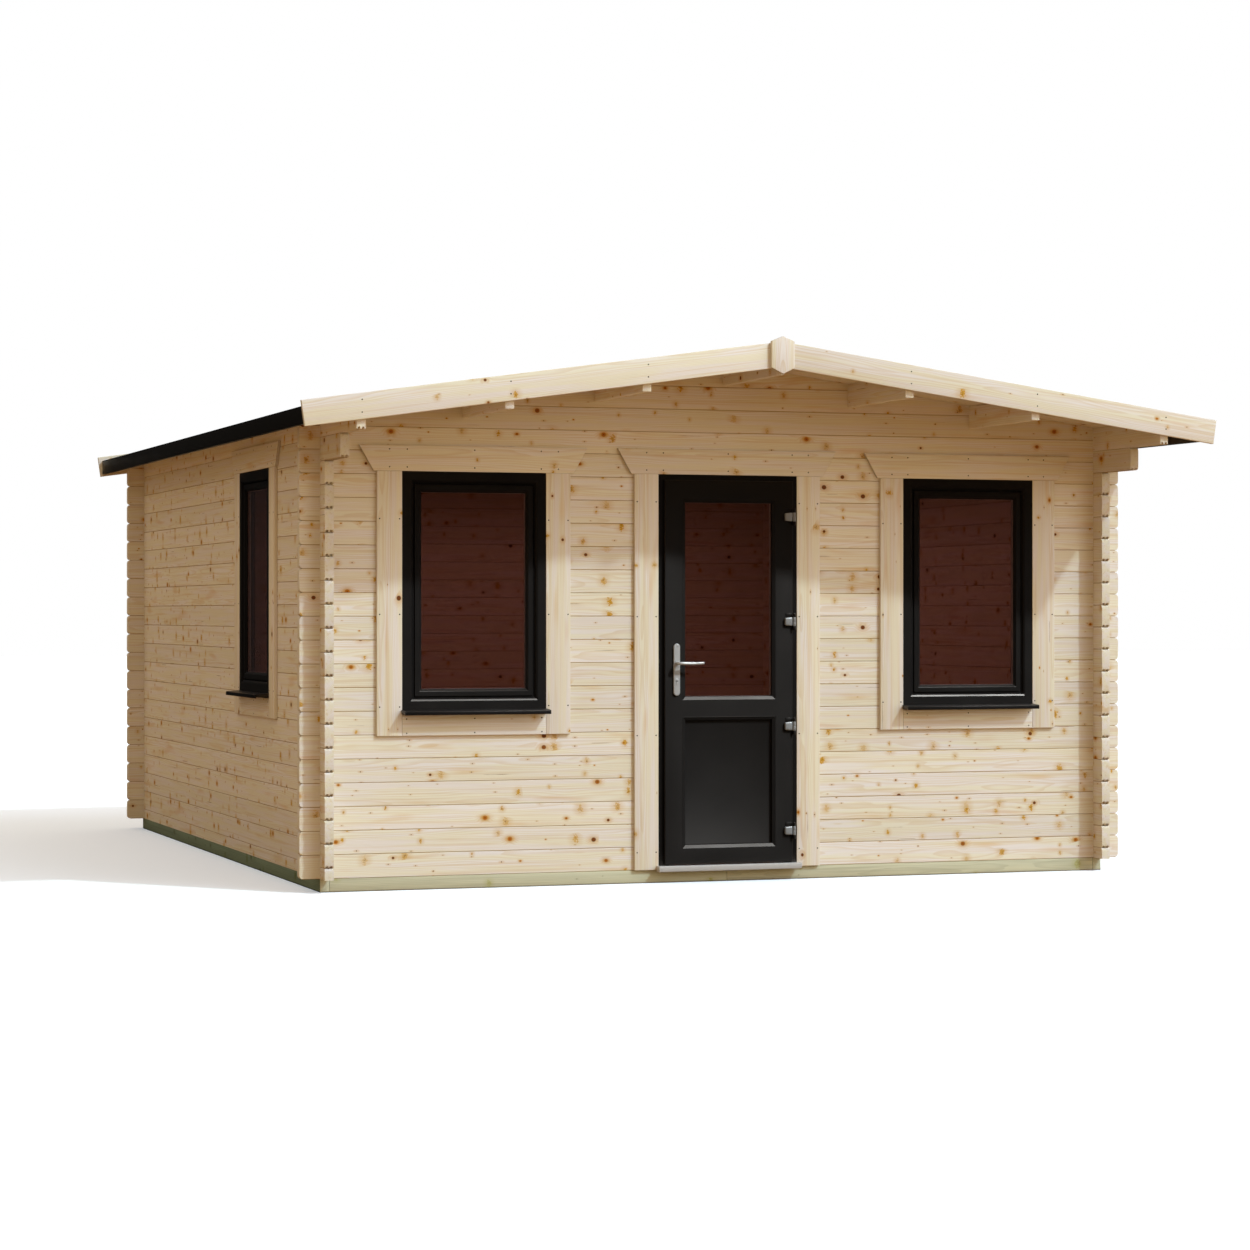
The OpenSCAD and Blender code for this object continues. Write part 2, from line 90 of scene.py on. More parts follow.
class CabinTimber(bpy.types.PropertyGroup):
    """Sizes and colours of the logs and boards."""

    log_height: length("Log height", "Height that one log adds to the wall", 114)
    slot_depth: length("Joint depth", "How far the open grooves run in from a log's end", 22)
    edge: length("Board edge", "Width of the rounded edge on boards", 2)
    roof_board: length("Roof board", "Width that one roof board covers", 96)
    floor_board: length("Floor board", "Width that one floor board covers", 87)
    board_gap: length("Board gap", "Open joint between two boards", 1.5)
    nail: length("Nail head", "Diameter of a nail head", 7)
    trim: length("Trim width", "Width of a trim board", 125)
    trim_thickness: length("Trim thickness", "Thickness of a trim board", 18)
    header_foot: length("Header foot", "Header past the side boards, at its bottom", 16)
    header_tip: length("Header tip", "Header past the side boards, at its top", 88)
    barge: length("Barge depth", "Depth of a barge board", 121)
    nail_pair: length("Nail spacing", "Distance between the two nails at a purlin", 58)
    pale: colour("Spruce", "Early wood of planed spruce", "dbd2cb")
    straw: colour("Yellow spruce", "Yellower early wood", "dad1bb")
    late: colour("Spruce rings", "Late wood of planed spruce", "cbb28e")
    amber: colour("Resin", "Resin-rich streaks and the wood round a knot", "c7984f")
    knot: colour("Knot", "Middle of a knot", "7b4f26")
    treated: colour("Treated softwood", "Pressure treated timber of the base", "c3bea1")
    # Darker, greener copy of the treated timber for the bearers' and joists' long faces: painted
    # shade
    painted_shade: colour("Painted shade softwood", "Treated timber along the sides, close to the ground", "74826e")


class CabinJoinery(bpy.types.PropertyGroup):
    """Sizes and colours of the windows and the door."""

    frame_face: length("Frame face", "Flat face of a window's outer frame", 44)
    frame_bevel: length("Frame bevel", "Sloping edge inside the flat face", 12)
    frame_whole: length("Frame width", "Whole width of an outer frame", 60)
    seal_gap: length("Seal gap", "Shadow gap between the frame and the sash", 9)
    sash_face: length("Sash width", "Width of a sash past its frame", 38)
    sash_back: length("Sash depth", "Sash behind the face of its frame", 8)
    bead: length("Bead", "Width of a window's glazing bead", 10)
    door_bead: length("Door bead", "Width of the door's glazing bead", 16.5)
    glass_back: length("Glass depth", "Glass behind the face of its sash", 12)
    glass_unit: length("Glass unit", "Thickness of a sealed glass unit", 24)
    glass_sheet: length("Glass sheet", "Thickness of one sheet of glass", 4)
    profile: colour("Profile", "Satin black foil of the profiles", "0e0c0b")
    gasket: colour("Gasket", "Rubber seals", "060607")
    tint: colour("Tint", "Brown tint of the glass", "e3d8d7")


class CabinMetal(bpy.types.PropertyGroup):
    """Colours of the metal pieces and the roof covering."""

    hinge_body: length("Hinge body", "Height of a hinge's bright body", 44)
    plate: length("Handle plate", "Thickness of a handle plate", 9)
    spindle: length("Spindle", "Radius of the spindle", 6)
    lever: length("Lever", "Radius of the lever's round bar", 8)
    steel: colour("Handle", "Satin anodised aluminium", "ccc9c6")
    hinge: colour("Hinge", "Lacquered hinge body", "a8a7a6")
    aluminium: colour("Threshold", "Anodised aluminium", "ccc5bf")
    membrane: colour("Membrane", "Rubber roof covering", "080808")


class CabinStage(bpy.types.PropertyGroup):
    """Camera, lamps and floor."""

    lens: FloatProperty(name="Lens", description="Focal length of the camera", default=90.77,
                        min=10, unit="CAMERA", subtype="NONE")
    camera_place: FloatVectorProperty(name="Camera place", description="Where the camera stands",
                                      size=3, default=(-5.549, -16.771, 1.3345), unit="LENGTH",
                                      subtype="TRANSLATION")
    shift: FloatProperty(name="Camera shift", description="Upward shift of the picture",
                         default=-0.00954)
    turn: FloatProperty(name="Camera turn", description="Turn of the camera from straight on",
                        default=math.radians(-18.82), unit="ROTATION", subtype="ANGLE")
    sun_height: FloatProperty(name="Key height", description="Height of the key lamp",
                              default=math.radians(43), unit="ROTATION", subtype="ANGLE")
    sun_side: FloatProperty(name="Key side", description="Turn of the key lamp to the right",
                            default=math.radians(40), unit="ROTATION", subtype="ANGLE")
    key: FloatProperty(name="Key strength", description="Strength of the key lamp", default=1.8,
                       min=0)
    gleam: FloatProperty(name="Gleam strength", default=1.8, min=0,
                         description="Strength the key lamp gains in reflections")
    around: FloatProperty(name="Reflected surroundings", default=0.015, min=0,
                          description="Brightness of what vertical surfaces reflect")
    above: FloatProperty(name="Reflected ceiling", default=1.5, min=0,
                         description="Brightness that surfaces facing up reflect")
    room: FloatProperty(name="Room strength", description="Power of the lamp inside the room",
                        default=17, min=0, unit="POWER")
    key_tint: colour("Key tint", "Colour of the key lamp", "d4f1ff")
    room_tint: colour("Room tint", "Colour of the lamp inside the room", "ffd3d0")
    horizon: colour("Horizon", "Light all round, near the horizon", "bcaa8c")
    zenith: colour("Zenith", "Light all round, overhead", "e7dfce")
    front_low: colour("Front, low", "Low part of the light in front on the right", "fffbe2")
    front_high: colour("Front, high", "High part of that light", "c1daff")
    ground: colour("Ground light", "Colour that the floor throws back on the cabin", "ac865f")
    floor: colour("Floor", "Colour of the floor as it is seen", "fcf7f3")
    floor_lift: colour("Floor lift", "Light added to the floor as it is seen", "65798c")
    fill: FloatProperty(name="Fill strength", description="Strength of the light all round",
                        default=1.0, min=0)
    front: FloatProperty(name="Front fill", default=1.0, min=0,
                         description="Strength of the broad soft light from the front")


# ---------- modelling ----------


def deselect():
    """Nothing is selected afterwards, and Blender is in object mode."""
    active = bpy.context.view_layer.objects.active
    if active and active.mode != "OBJECT":
        bpy.ops.object.mode_set(mode="OBJECT")
    bpy.ops.object.select_all(action="DESELECT")


def choose(*pieces):
    """Only these pieces are selected, and the first is active."""
    deselect()
    for piece in pieces:
        piece.select_set(True)
    bpy.context.view_layer.objects.active = pieces[0]


def settle(piece):
    """The piece's place, turn and size go into its mesh."""
    choose(piece)
    bpy.ops.object.transform_apply(location=True, rotation=True, scale=True)
    return piece


def named(piece, name):
    piece.name = name
    piece.data.name = name
    return piece


def block(low, high, name="block"):
    """A square block between two corners, to be shaped further."""
    low, high = Vector(low), Vector(high)
    deselect()
    bpy.ops.mesh.primitive_cube_add(size=1, location=(low + high) / 2, scale=high - low)
    return named(settle(bpy.context.object), name)


def rod(start, end, radius, sides=24, name="rod"):
    """A round bar between two points, to be shaped further."""
    start, end = Vector(start), Vector(end)
    deselect()
    turn = (end - start).to_track_quat("Z", "Y").to_euler()
    bpy.ops.mesh.primitive_cylinder_add(vertices=sides, radius=radius, depth=(end - start).length,
                                        location=(start + end) / 2, rotation=turn)
    return named(settle(bpy.context.object), name)


def shape(piece, kind, test):
    """Opens the piece for editing with only those faces, edges or vertices selected that pass."""
    choose(piece)
    bpy.ops.object.mode_set(mode="EDIT")
    bpy.ops.mesh.select_mode(type=kind)
    bpy.ops.mesh.select_all(action="DESELECT")
    mesh = bmesh.from_edit_mesh(piece.data)
    for part in {"FACE": mesh.faces, "EDGE": mesh.edges, "VERT": mesh.verts}[kind]:
        part.select_set(bool(test(part)))
    mesh.select_flush_mode()
    bmesh.update_edit_mesh(piece.data)


def done(piece=None):
    bpy.ops.object.mode_set(mode="OBJECT")
    return piece


def facing(direction, inside=None):
    """A test for faces that look along a direction and whose middle passes another test."""
    return lambda f: f.normal.dot(direction) > 0.9 and (
        inside is None or inside(f.calc_center_median()))


def apply_modifier(piece, kind, **settings):
    choose(piece)
    modifier = piece.modifiers.new(kind.lower(), kind)
    for key, value in settings.items():
        setattr(modifier, key, value)
    bpy.ops.object.modifier_apply(modifier=modifier.name)
    return piece


def round_edges(piece, width, segments=2, angle=30):
    """Rounds every edge sharper than an angle in degrees."""
    apply_modifier(piece, "BEVEL", width=width, segments=segments, limit_method="ANGLE",
                   angle_limit=math.radians(angle), harden_normals=False,
                   use_clamp_overlap=True)
    return shade_by_angle(piece, 40)


def shade_by_angle(piece, angle):
    """Smooth shading across edges blunter than an angle in degrees."""
    choose(piece)
    bpy.ops.object.shade_smooth_by_angle(angle=math.radians(angle))
    return piece


def soften(piece, direction, width, segments=2):
    """Rounds the rim of the faces that look along a direction."""
    shape(piece, "FACE", facing(direction))
    bpy.ops.mesh.bevel(offset=width, segments=segments, affect="EDGES")
    return shade_by_angle(done(piece), 35)


def cad_copy(node, name):
    """A welded copy of a CAD node's mesh, to be shaped further."""
    piece = bpy.data.objects.new(name, frame["nodes"][node].data.copy())
    bpy.context.scene.collection.objects.link(piece)
    named(piece, name)
    piece.data.materials.clear()
    choose(piece)
    bpy.ops.mesh.customdata_custom_splitnormals_clear()
    bpy.ops.object.mode_set(mode="EDIT")
    bpy.ops.mesh.select_all(action="SELECT")
    bpy.ops.mesh.remove_doubles(threshold=0.01 * MM)
    bpy.ops.mesh.dissolve_limited(angle_limit=math.radians(0.3))
    bpy.ops.mesh.normals_make_consistent(inside=False)
    return done(piece)


def solids(node, order=0):
    """Lowest and highest corner of each separate solid of a CAD node, sorted along an axis and,
    where that ties, by the whole corner, so that every run gives the same order."""
    mesh = bmesh.new()
    mesh.from_mesh(frame["nodes"][node].data)
    bmesh.ops.remove_doubles(mesh, verts=mesh.verts, dist=0.01 * MM)
    left, found = set(mesh.verts), []
    while left:
        reach, places = [left.pop()], []
        while reach:
            vertex = reach.pop()
            places.append(tuple(vertex.co))
            for edge in vertex.link_edges:
                other = edge.other_vert(vertex)
                if other in left:
                    left.remove(other)
                    reach.append(other)
        axes = list(zip(*places))
        found.append((Vector(map(min, axes)), Vector(map(max, axes))))
    mesh.free()
    return sorted(found, key=lambda corners: (corners[0][order], *corners[0]))


def duplicate(piece, name, move=(0, 0, 0)):
    """A copy with a mesh of its own."""
    choose(piece)
    bpy.ops.object.duplicate(linked=False)
    copy = named(bpy.context.object, name)
    copy.location = move
    return settle(copy)


def mirrored(piece, name, axis=0, middle=0.0):
    """A copy on the other side of a plane across an axis, with its faces turned outwards again."""
    copy = duplicate(piece, name)
    copy.scale[axis] = -1
    copy.location[axis] = 2 * middle
    settle(copy)
    shape(copy, "FACE", lambda f: True)
    bpy.ops.mesh.normals_make_consistent(inside=False)
    return done(copy)


def joined(pieces, name):
    """The pieces as one object."""
    choose(*pieces)
    if len(pieces) > 1:
        bpy.ops.object.join()
    return named(bpy.context.object, name)


def extruded(outline, axis, start, end, name="prism"):
    """A closed outline of (across, up) points swept along X or Y, from a flat face by extrusion."""
    deselect()
    bpy.ops.mesh.primitive_circle_add(vertices=len(outline), radius=1, fill_type="NGON")
    piece = named(bpy.context.object, name)
    for vertex, (across, up) in zip(piece.data.vertices, outline):
        vertex.co = (start, across, up) if axis == X else (across, start, up)
    shape(piece, "FACE", lambda f: True)
    bpy.ops.mesh.extrude_region_move(TRANSFORM_OT_translate={"value": axis * (end - start)})
    bpy.ops.mesh.select_all(action="SELECT")
    bpy.ops.mesh.normals_make_consistent(inside=False)
    return done(piece)


def carve(piece, cutters):
    """Takes the cutters' shapes out of the piece."""
    cutter = joined(cutters, "cutter") if len(cutters) > 1 else cutters[0]
    apply_modifier(piece, "BOOLEAN", operation="DIFFERENCE", solver="EXACT", object=cutter,
                   use_self=False)
    bpy.data.objects.remove(cutter)
    return piece


def repeated(piece, count, step):
    """The piece repeated in a row, as one mesh."""
    return apply_modifier(piece, "ARRAY", count=count, use_relative_offset=False,
                          use_constant_offset=True, constant_offset_displace=step)


def placed(piece, name, turn, spot):
    """A copy turned about Z and moved to a spot."""
    choose(piece)
    bpy.ops.object.duplicate(linked=False)
    copy = named(bpy.context.object, name)
    copy.rotation_euler = (0, 0, turn)
    copy.location = spot
    return settle(copy)


def move_to(piece, spot):
    piece.location = spot
    return settle(piece)


def turned(direction, turn):
    """A direction turned about Z."""
    return Matrix.Rotation(turn, 3, "Z") @ direction


def moulding(low, high, front, back, name="moulding"):
    """A mitred ring from a block. Each step of its front and back faces goes inwards and outwards
    by so many mm; then the faces that are left are opened and joined through the block."""
    piece = block(low, high, name)
    for direction, steps in ((-Y, front), (Y, back)):
        shape(piece, "FACE", facing(direction))
        for inwards, out in steps:
            if inwards:
                bpy.ops.mesh.inset(thickness=inwards * MM, depth=out * MM)
            else:
                bpy.ops.mesh.extrude_region_move(
                    TRANSFORM_OT_translate={"value": direction * out * MM})
        bpy.ops.mesh.delete(type="FACE")
        done()
    shape(piece, "EDGE", lambda e: e.is_boundary)
    bpy.ops.mesh.bridge_edge_loops()
    bpy.ops.mesh.select_all(action="SELECT")
    bpy.ops.mesh.normals_make_consistent(inside=False)
    done(piece)
    return shade_by_angle(piece, 20)


def cut_off(piece, height):
    """Takes away what is below a height and closes the cut."""
    shape(piece, "FACE", lambda f: True)
    bpy.ops.mesh.bisect(plane_co=(0, 0, height), plane_no=(0, 0, 1), use_fill=True,
                        clear_inner=True)
    return done(piece)


def oblong(x, low, high, radius, start, end):
    """A plate in X and Z with round ends, between two depths."""
    outline = []
    for centre, first in ((high - radius, 0), (low + radius, 180)):
        for k in range(0, 181, 12):
            angle = math.radians(first + k)
            outline.append((x + radius * math.cos(angle), centre + radius * math.sin(angle)))
    return extruded(outline, Y, start, end, "oblong")


def swept(points, radius, name):
    """A round bar along a smooth line through points, each with its share of the radius."""
    deselect()
    bpy.ops.curve.primitive_bezier_curve_add()
    piece = named(bpy.context.object, name)
    piece.location = (0, 0, 0)
    curve = piece.data
    curve.dimensions = "3D"
    curve.bevel_depth = radius
    curve.bevel_resolution = 6
    curve.resolution_u = 10
    curve.use_fill_caps = True
    spline = curve.splines[0]
    spline.bezier_points.add(len(points) - 2)
    for point, (place, share_of) in zip(spline.bezier_points, points):
        point.handle_left_type = point.handle_right_type = "AUTO"
        point.co = place
        point.radius = share_of
    choose(piece)
    bpy.ops.object.convert(target="MESH")
    shape(piece, "FACE", lambda f: True)
    bpy.ops.mesh.remove_doubles(threshold=0.01 * MM)
    bpy.ops.mesh.normals_make_consistent(inside=False)
    done()
    return shade_by_angle(piece, 45)


def nails(places, diameter, name):
    """Low nail heads on faces that look to the front or the back, joined into one piece."""
    head = rod((0, 0.4 * MM, 0), (0, -0.5 * MM, 0), diameter / 2, 12)
    soften(head, -Y, 0.35 * MM, 1)
    copies = [placed(head, "nail", 0 if out.y < 0 else math.pi, spot) for spot, out in places]
    bpy.data.objects.remove(head)
    return joined(copies, name)


def window_places():
    """Each window's turn about Z and the place of its lower middle on the wall's face."""
    wall_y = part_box("front_gable")[0].y
    wall_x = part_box("left_wall")[0].x
    places = {}
    for place in ("left", "right", "side"):
        low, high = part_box("window_frame_" + place)
        middle = (low + high) / 2
        if place == "side":
            places[place] = (math.radians(-90), Vector((wall_x, middle.y, low.z)))
        else:
            places[place] = (0.0, Vector((middle.x, wall_y, low.z)))
    return places


def finished(piece, body, slot, replaces=(), *materials):
    """Gives the piece its materials and its place in the frame."""
    if not piece.data.polygons:
        raise RuntimeError(f"{piece.name} has no faces")
    for material in materials:
        piece.data.materials.append(material)
    deselect()
    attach(piece, body)
    if replaces:
        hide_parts(*replaces)
    return piece


# ---------- grain ----------

chance = random.Random(4750)


def lay_grain(piece, along, across, board_of=None, middle_of=None):
    """Stores each corner's place in its own board, in metres: along the grain, across the face and
    through the thickness, with a random start; and the board's tone, end grain and seed."""
    mesh = piece.data
    count = len(mesh.loops)
    corner_vertex = np.zeros(count, int)
    mesh.loops.foreach_get("vertex_index", corner_vertex)
    places = np.array([v.co for v in mesh.vertices])[corner_vertex]
    along, across = np.array(along, float), np.array(across, float)
    through = np.cross(along, across)
    axes = np.stack([along, across, through], 1)
    local = places @ axes
    boards, ends = np.zeros(count, int), np.zeros(count)
    for face in mesh.polygons:
        span = slice(face.loop_start, face.loop_start + face.loop_total)
        ends[span] = abs(np.dot(face.normal, along)) > 0.7
        boards[span] = board_of(face.center) if board_of else 0
    grain = np.zeros((count, 3), np.float32)
    board = np.zeros((count, 3), np.float32)
    for number in sorted(set(boards.tolist())):
        mine = boards == number
        middle = (local[mine].min(0) + local[mine].max(0)) / 2
        if middle_of:
            middle[1] = middle_of(number)
        start = chance.uniform(0, 60)
        grain[mine] = local[mine] - [0, middle[1], middle[2]] + [start, 0, 0]
        board[mine] = (chance.random(), 0, chance.random())
    board[:, 1] = ends
    for name, values in (("grain", grain), ("board", board)):
        attribute = mesh.attributes.new(name, "FLOAT_VECTOR", "CORNER")
        attribute.data.foreach_set("vector", values.ravel())
    return piece


# ---------- materials ----------

# Settings that many nodes share
ADD, SUBTRACT, MULTIPLY, DIVIDE = ({"operation": name} for name in
                                   ("ADD", "SUBTRACT", "MULTIPLY", "DIVIDE"))
SMOOTH = {"interpolation_type": "SMOOTHSTEP"}
COLOUR = {"data_type": "RGBA"}


def add_node(tree, kind, inputs=(), **settings):
    """Adds a shader node with its settings. Its inputs, in order or by name, are values, sockets or
    nodes; a node gives its first result, and a colour mix its colour."""
    node = tree.nodes.new("ShaderNode" + kind)
    for key, value in settings.items():
        setattr(node, key, value)
    for key, value in inputs.items() if isinstance(inputs, dict) else enumerate(inputs):
        if isinstance(value, bpy.types.Node):
            value = value.outputs[2 if value.bl_idname == "ShaderNodeMix" else 0]
        if isinstance(value, bpy.types.NodeSocket):
            tree.links.new(value, node.inputs[key])
        else:
            node.inputs[key].default_value = value
    return node


def new_material(name, **sockets):
    """A material whose shader has these plain values; returns it, its nodes and its shader."""
    material = bpy.data.materials.new(name)
    material.use_nodes = True
    tree = material.node_tree
    shader = tree.nodes["Principled BSDF"]
    for key, value in sockets.items():
        shader.inputs[key.replace("_", " ")].default_value = value
    return material, tree, shader


def spruce(name, tones, knots=1.0, joint=None, tone=0.10, ends=0.08, foot=None):
    """Planed spruce. Its tones are pale and straw early wood, late wood, resin and knot; knots says
    how many show, tone how far boards differ and ends how dark end grain is. joint is half a log's
    height in mm, where its edges darken; foot is the height in mm over which the bottom darkens
    towards the ground, a painted contact shadow."""
    pale, straw, late, amber, knot = tones
    dark = (knot[0] * 0.45, knot[1] * 0.25, knot[2] * 0.2)
    brown = (knot[0] * 0.8, knot[1] * 0.5, knot[2] * 0.2)
    orange = (knot[0] * 2.2, knot[1] * 1.8, knot[2] * 0.6)
    golden = (amber[0] * 0.95, amber[1] * 0.92, amber[2] * 0.4)
    seam = tuple(c * 0.6 for c in amber)
    material, tree, shader = new_material(name, Roughness=0.6, Specular_IOR_Level=0.1)
    node = functools.partial(add_node, tree)

    grain = node("Attribute", attribute_name="grain").outputs["Vector"]
    board = node("Attribute", attribute_name="board").outputs["Vector"]
    tone_of, end, seed = node("SeparateXYZ", [board]).outputs
    mm = node("VectorMath", [grain, (1000, 1000, 1000)], **MULTIPLY)
    along, across, through = node("SeparateXYZ", [mm]).outputs
    side_grain = node("Math", [1.0, end], **SUBTRACT)

    # Clouded patterns: their size in mm along and across the grain, their detail and roughness. The
    # fibre is drawn far coarser than real fibre, so that it shows
    cloud = {}
    for title, (length_mm, width_mm, detail, rough) in {
            "wobble": (45, 14, 1.0, 0.5), "ragged": (9, 5, 2.0, 0.5), "bend": (650, 85, 2.0, 0.5),
            "fibre": (260, 2.6, 3.0, 0.6), "yellow": (520, 30, 2.0, 0.5),
            "streak": (900, 13, 2.0, 0.5), "resin": (380, 48, 1.0, 0.5)}.items():
        place = node("VectorMath", [mm, (1 / length_mm, 1 / width_mm, 1 / width_mm)], **MULTIPLY)
        cloud[title] = node("TexNoise", {"Vector": place, "Scale": 1.0, "Detail": detail,
                                         "Roughness": rough})
    wobble = node("Math", [node("Math", [cloud["wobble"], 0.5], **SUBTRACT), 7.0], **MULTIPLY)

    def marks(cell_length, cell_width, share_with, smallest, largest, core, halo):
        """Scattered marks, one at most to a cell: their distance in mark sizes with the stretch of
        the core and of the halo, their size in mm, where they are, and a random value."""
        row = node("Math", [node("Math", [across, cell_width], **DIVIDE),
                            node("Math", [seed, 91.0], **MULTIPLY)], **ADD)
        flat = node("CombineXYZ", [node("Math", [along, cell_length], **DIVIDE), row])
        cells = node("TexVoronoi", {"Vector": flat, "Scale": 1.0, "Randomness": 0.9},
                     voronoi_dimensions="2D")
        away = node("VectorMath", [flat, cells.outputs["Position"]], **SUBTRACT)
        draw, variety, _ = node("SeparateColor", [cells.outputs["Color"]]).outputs
        size = node("MapRange", [draw, 1 - share_with, 1.0], **SMOOTH)
        size = node("Math", [size, 2.2], operation="POWER")
        size = node("Math", [size, largest - smallest, smallest], operation="MULTIPLY_ADD")
        there = node("Math", [node("Math", [draw, 1 - share_with], operation="GREATER_THAN"),
                              side_grain], **MULTIPLY)
        found = []
        for stretch in (core, halo):
            scaled = node("VectorMath", [away, (cell_length / stretch, cell_width, 0)], **MULTIPLY)
            away_mm = node("VectorMath", [scaled], operation="LENGTH").outputs["Value"]
            away_mm = node("Math", [away_mm, node("Math", [wobble, 0.25], **MULTIPLY)], **ADD)
            found.append(node("Math", [away_mm, size], **DIVIDE))
        return (*found, size, there, variety)

    near, wide, size, there, variety = marks(215.0, 60.0, 0.23 * knots, 2.4, 10.5, 1.1, 1.6)
    pin, pin_wide, _, pin_there, _ = marks(140.0, 46.0, 0.26 * knots, 1.6, 3.0, 1.0, 2.5)
    dash, _, _, dash_there, _ = marks(820.0, 70.0, 0.3 * knots, 0.6, 1.2, 60.0, 60.0)
    # Where a knot runs along under the surface it shows as an amber flame across the grain
    flame, flame_wide, _, flame_there, depth = marks(190.0, 56.0, 0.34 * knots, 10.0, 25.0, 0.7,
                                                     1.0)
    ragged = node("Math", [node("Math", [cloud["ragged"], 0.5], **SUBTRACT), 2.4], **MULTIPLY)
    ragged = node("Math", [flame, ragged], **ADD)

    # The parts of each mark: the distance that it follows, where it starts and is full, and factors
    inside_rim = node("MapRange", [near, 1.25, 1.0], **SMOOTH)
    old = node("MapRange", [variety, 0.2, 0.7], **SMOOTH)
    deep = node("MapRange", [depth, 0.0, 1.0, 0.6, 1.0], **SMOOTH)
    part = {}
    for title, (distance, start, full, *factors) in {
            "core": (near, 1.06, 0.84, there), "rim": (near, 0.65, 0.95, inside_rim, there),
            "heart": (near, 0.55, 0.1, there, old), "glow": (wide, 1.9, 0.75, there),
            "halo": (wide, 3.4, 1.0, there), "pin": (pin, 1.15, 0.6, pin_there),
            "pin_halo": (pin_wide, 3.0, 1.0, pin_there), "dash": (dash, 1.3, 0.6, dash_there),
            "flame": (ragged, 1.0, 0.6, flame_there, deep),
            "speck": (ragged, 0.3, -0.1, flame_there, 0.6),
            "flame_glow": (flame_wide, 2.2, 0.4, flame_there, 0.35)}.items():
        part[title] = node("MapRange", [distance, start, full], **SMOOTH)
        for factor in factors:
            part[title] = node("Math", [part[title], factor], **MULTIPLY)

    # Growth rings 5.5 mm apart, coarser than in most real spruce, so that they show. They lie
    # round a pith behind the board and bulge round a knot
    bend = node("Math", [node("Math", [cloud["bend"], 0.5], **SUBTRACT), 34.0], **MULTIPLY)
    aside = node("Math", [node("Math", [seed, 0.5], **SUBTRACT), 150.0], **MULTIPLY)
    behind = node("Math", [26.0, node("Math", [tone_of, 40.0], **MULTIPLY)], **ADD)
    squares = [node("Math", [side, side], **MULTIPLY) for side in
               (node("Math", [across, aside], **SUBTRACT), node("Math", [through, behind], **ADD))]
    ring = node("Math", [node("Math", squares, **ADD)], operation="SQRT")
    bulge = node("Math", [node("Math", [part["halo"], size], **MULTIPLY), 0.9], **MULTIPLY)
    ring = node("Math", [node("Math", [ring, bend], **ADD), bulge], **ADD)
    saw = node("Math", [node("Math", [ring, 5.5], **DIVIDE)], operation="FRACT")
    late_wood = node("Math", [node("MapRange", [saw, 0.35, 0.92], **SMOOTH),
                              node("MapRange", [saw, 1.0, 0.93], **SMOOTH)], **MULTIPLY)
    brightness = node("Math", [node("Math", [cloud["fibre"], 0.18], **MULTIPLY),
                               node("Math", [tone_of, tone], **MULTIPLY)], **ADD)
    brightness = node("Math", [brightness, 0.95 - tone / 2], **ADD)
    brightness = node("Math", [brightness, node("Math", [end, ends], **MULTIPLY)], **SUBTRACT)

    # Some knots are dead and brown, others sound and resin orange
    sound = node("MapRange", [variety, 0.35, 0.65], **SMOOTH)
    knot_wood = node("Mix", {0: sound, 6: (*brown, 1), 7: (*orange, 1)}, **COLOUR)
    shade = node("CombineXYZ", [brightness] * 3)
    # Each layer covers those before it: where it lies, how much of it shows, and its colour. The
    # shade multiplies what lies under it
    layers = [
        (node("MapRange", [cloud["yellow"], 0.36, 0.62], **SMOOTH), None, straw),
        (late_wood, 0.42, late),
        (node("MapRange", [cloud["streak"], 0.52, 0.72], **SMOOTH), 0.5, late),
        (node("MapRange", [cloud["resin"], 0.6, 0.82], **SMOOTH), 0.42, amber),
        (1.0, None, shade),
        (node("Math", [part["halo"], part["pin_halo"]], operation="MAXIMUM"), 0.4, amber),
        (part["glow"], node("MapRange", [variety, 0.2, 0.8, 0.15, 0.95], **SMOOTH), amber),
        (node("Math", [part["flame"], part["flame_glow"]], operation="MAXIMUM"), None, golden),
        (part["speck"], None, knot),
        (part["core"], 0.98, knot_wood),
        (part["heart"], 0.8, dark),
        (part["rim"], node("MapRange", [variety, 0.35, 0.7, 0.6, 0.2], **SMOOTH), dark),
        (part["pin"], 0.95, dark),
        (part["dash"], 0.8, knot)]
    if joint:
        edge = node("Math", [across], operation="ABSOLUTE")
        edge = node("MapRange", [edge, joint - 2.0, joint - 0.6], **SMOOTH)
        layers.append((node("Math", [edge, 0.85], **MULTIPLY), side_grain, seam))
    # Painted contact shadow: the lowest foot mm darken towards the ground
    if foot:
        place = node("TexCoord").outputs["Object"]
        low = node("SeparateXYZ", [place]).outputs["Z"]
        layers.append((node("MapRange", [low, foot * MM, 0.0, 0.0, 0.85], **SMOOTH), None, dark))
    surface = (*pale, 1)
    for where, amount, colour_of in layers:
        if amount is not None:
            where = node("Math", [where, amount], **MULTIPLY)
        plain = isinstance(colour_of, tuple)
        surface = node("Mix", {0: where, 6: surface, 7: (*colour_of, 1) if plain else colour_of},
                       blend_type="MULTIPLY" if colour_of is shade else "MIX", **COLOUR)

    dull = node("Math", [0.66, node("Math", [part["core"], 0.15], **MULTIPLY)], **SUBTRACT)
    height = node("Math", [node("Math", [cloud["fibre"], 0.7], **MULTIPLY),
                           node("Math", [late_wood, 0.3], **MULTIPLY)], **SUBTRACT)
    bump = node("Bump", {"Height": height, "Strength": 0.25, "Distance": 0.4 * MM})
    tree.links.new(surface.outputs[2], shader.inputs["Base Color"])
    tree.links.new(dull.outputs[0], shader.inputs["Roughness"])
    tree.links.new(bump.outputs[0], shader.inputs["Normal"])
    return material


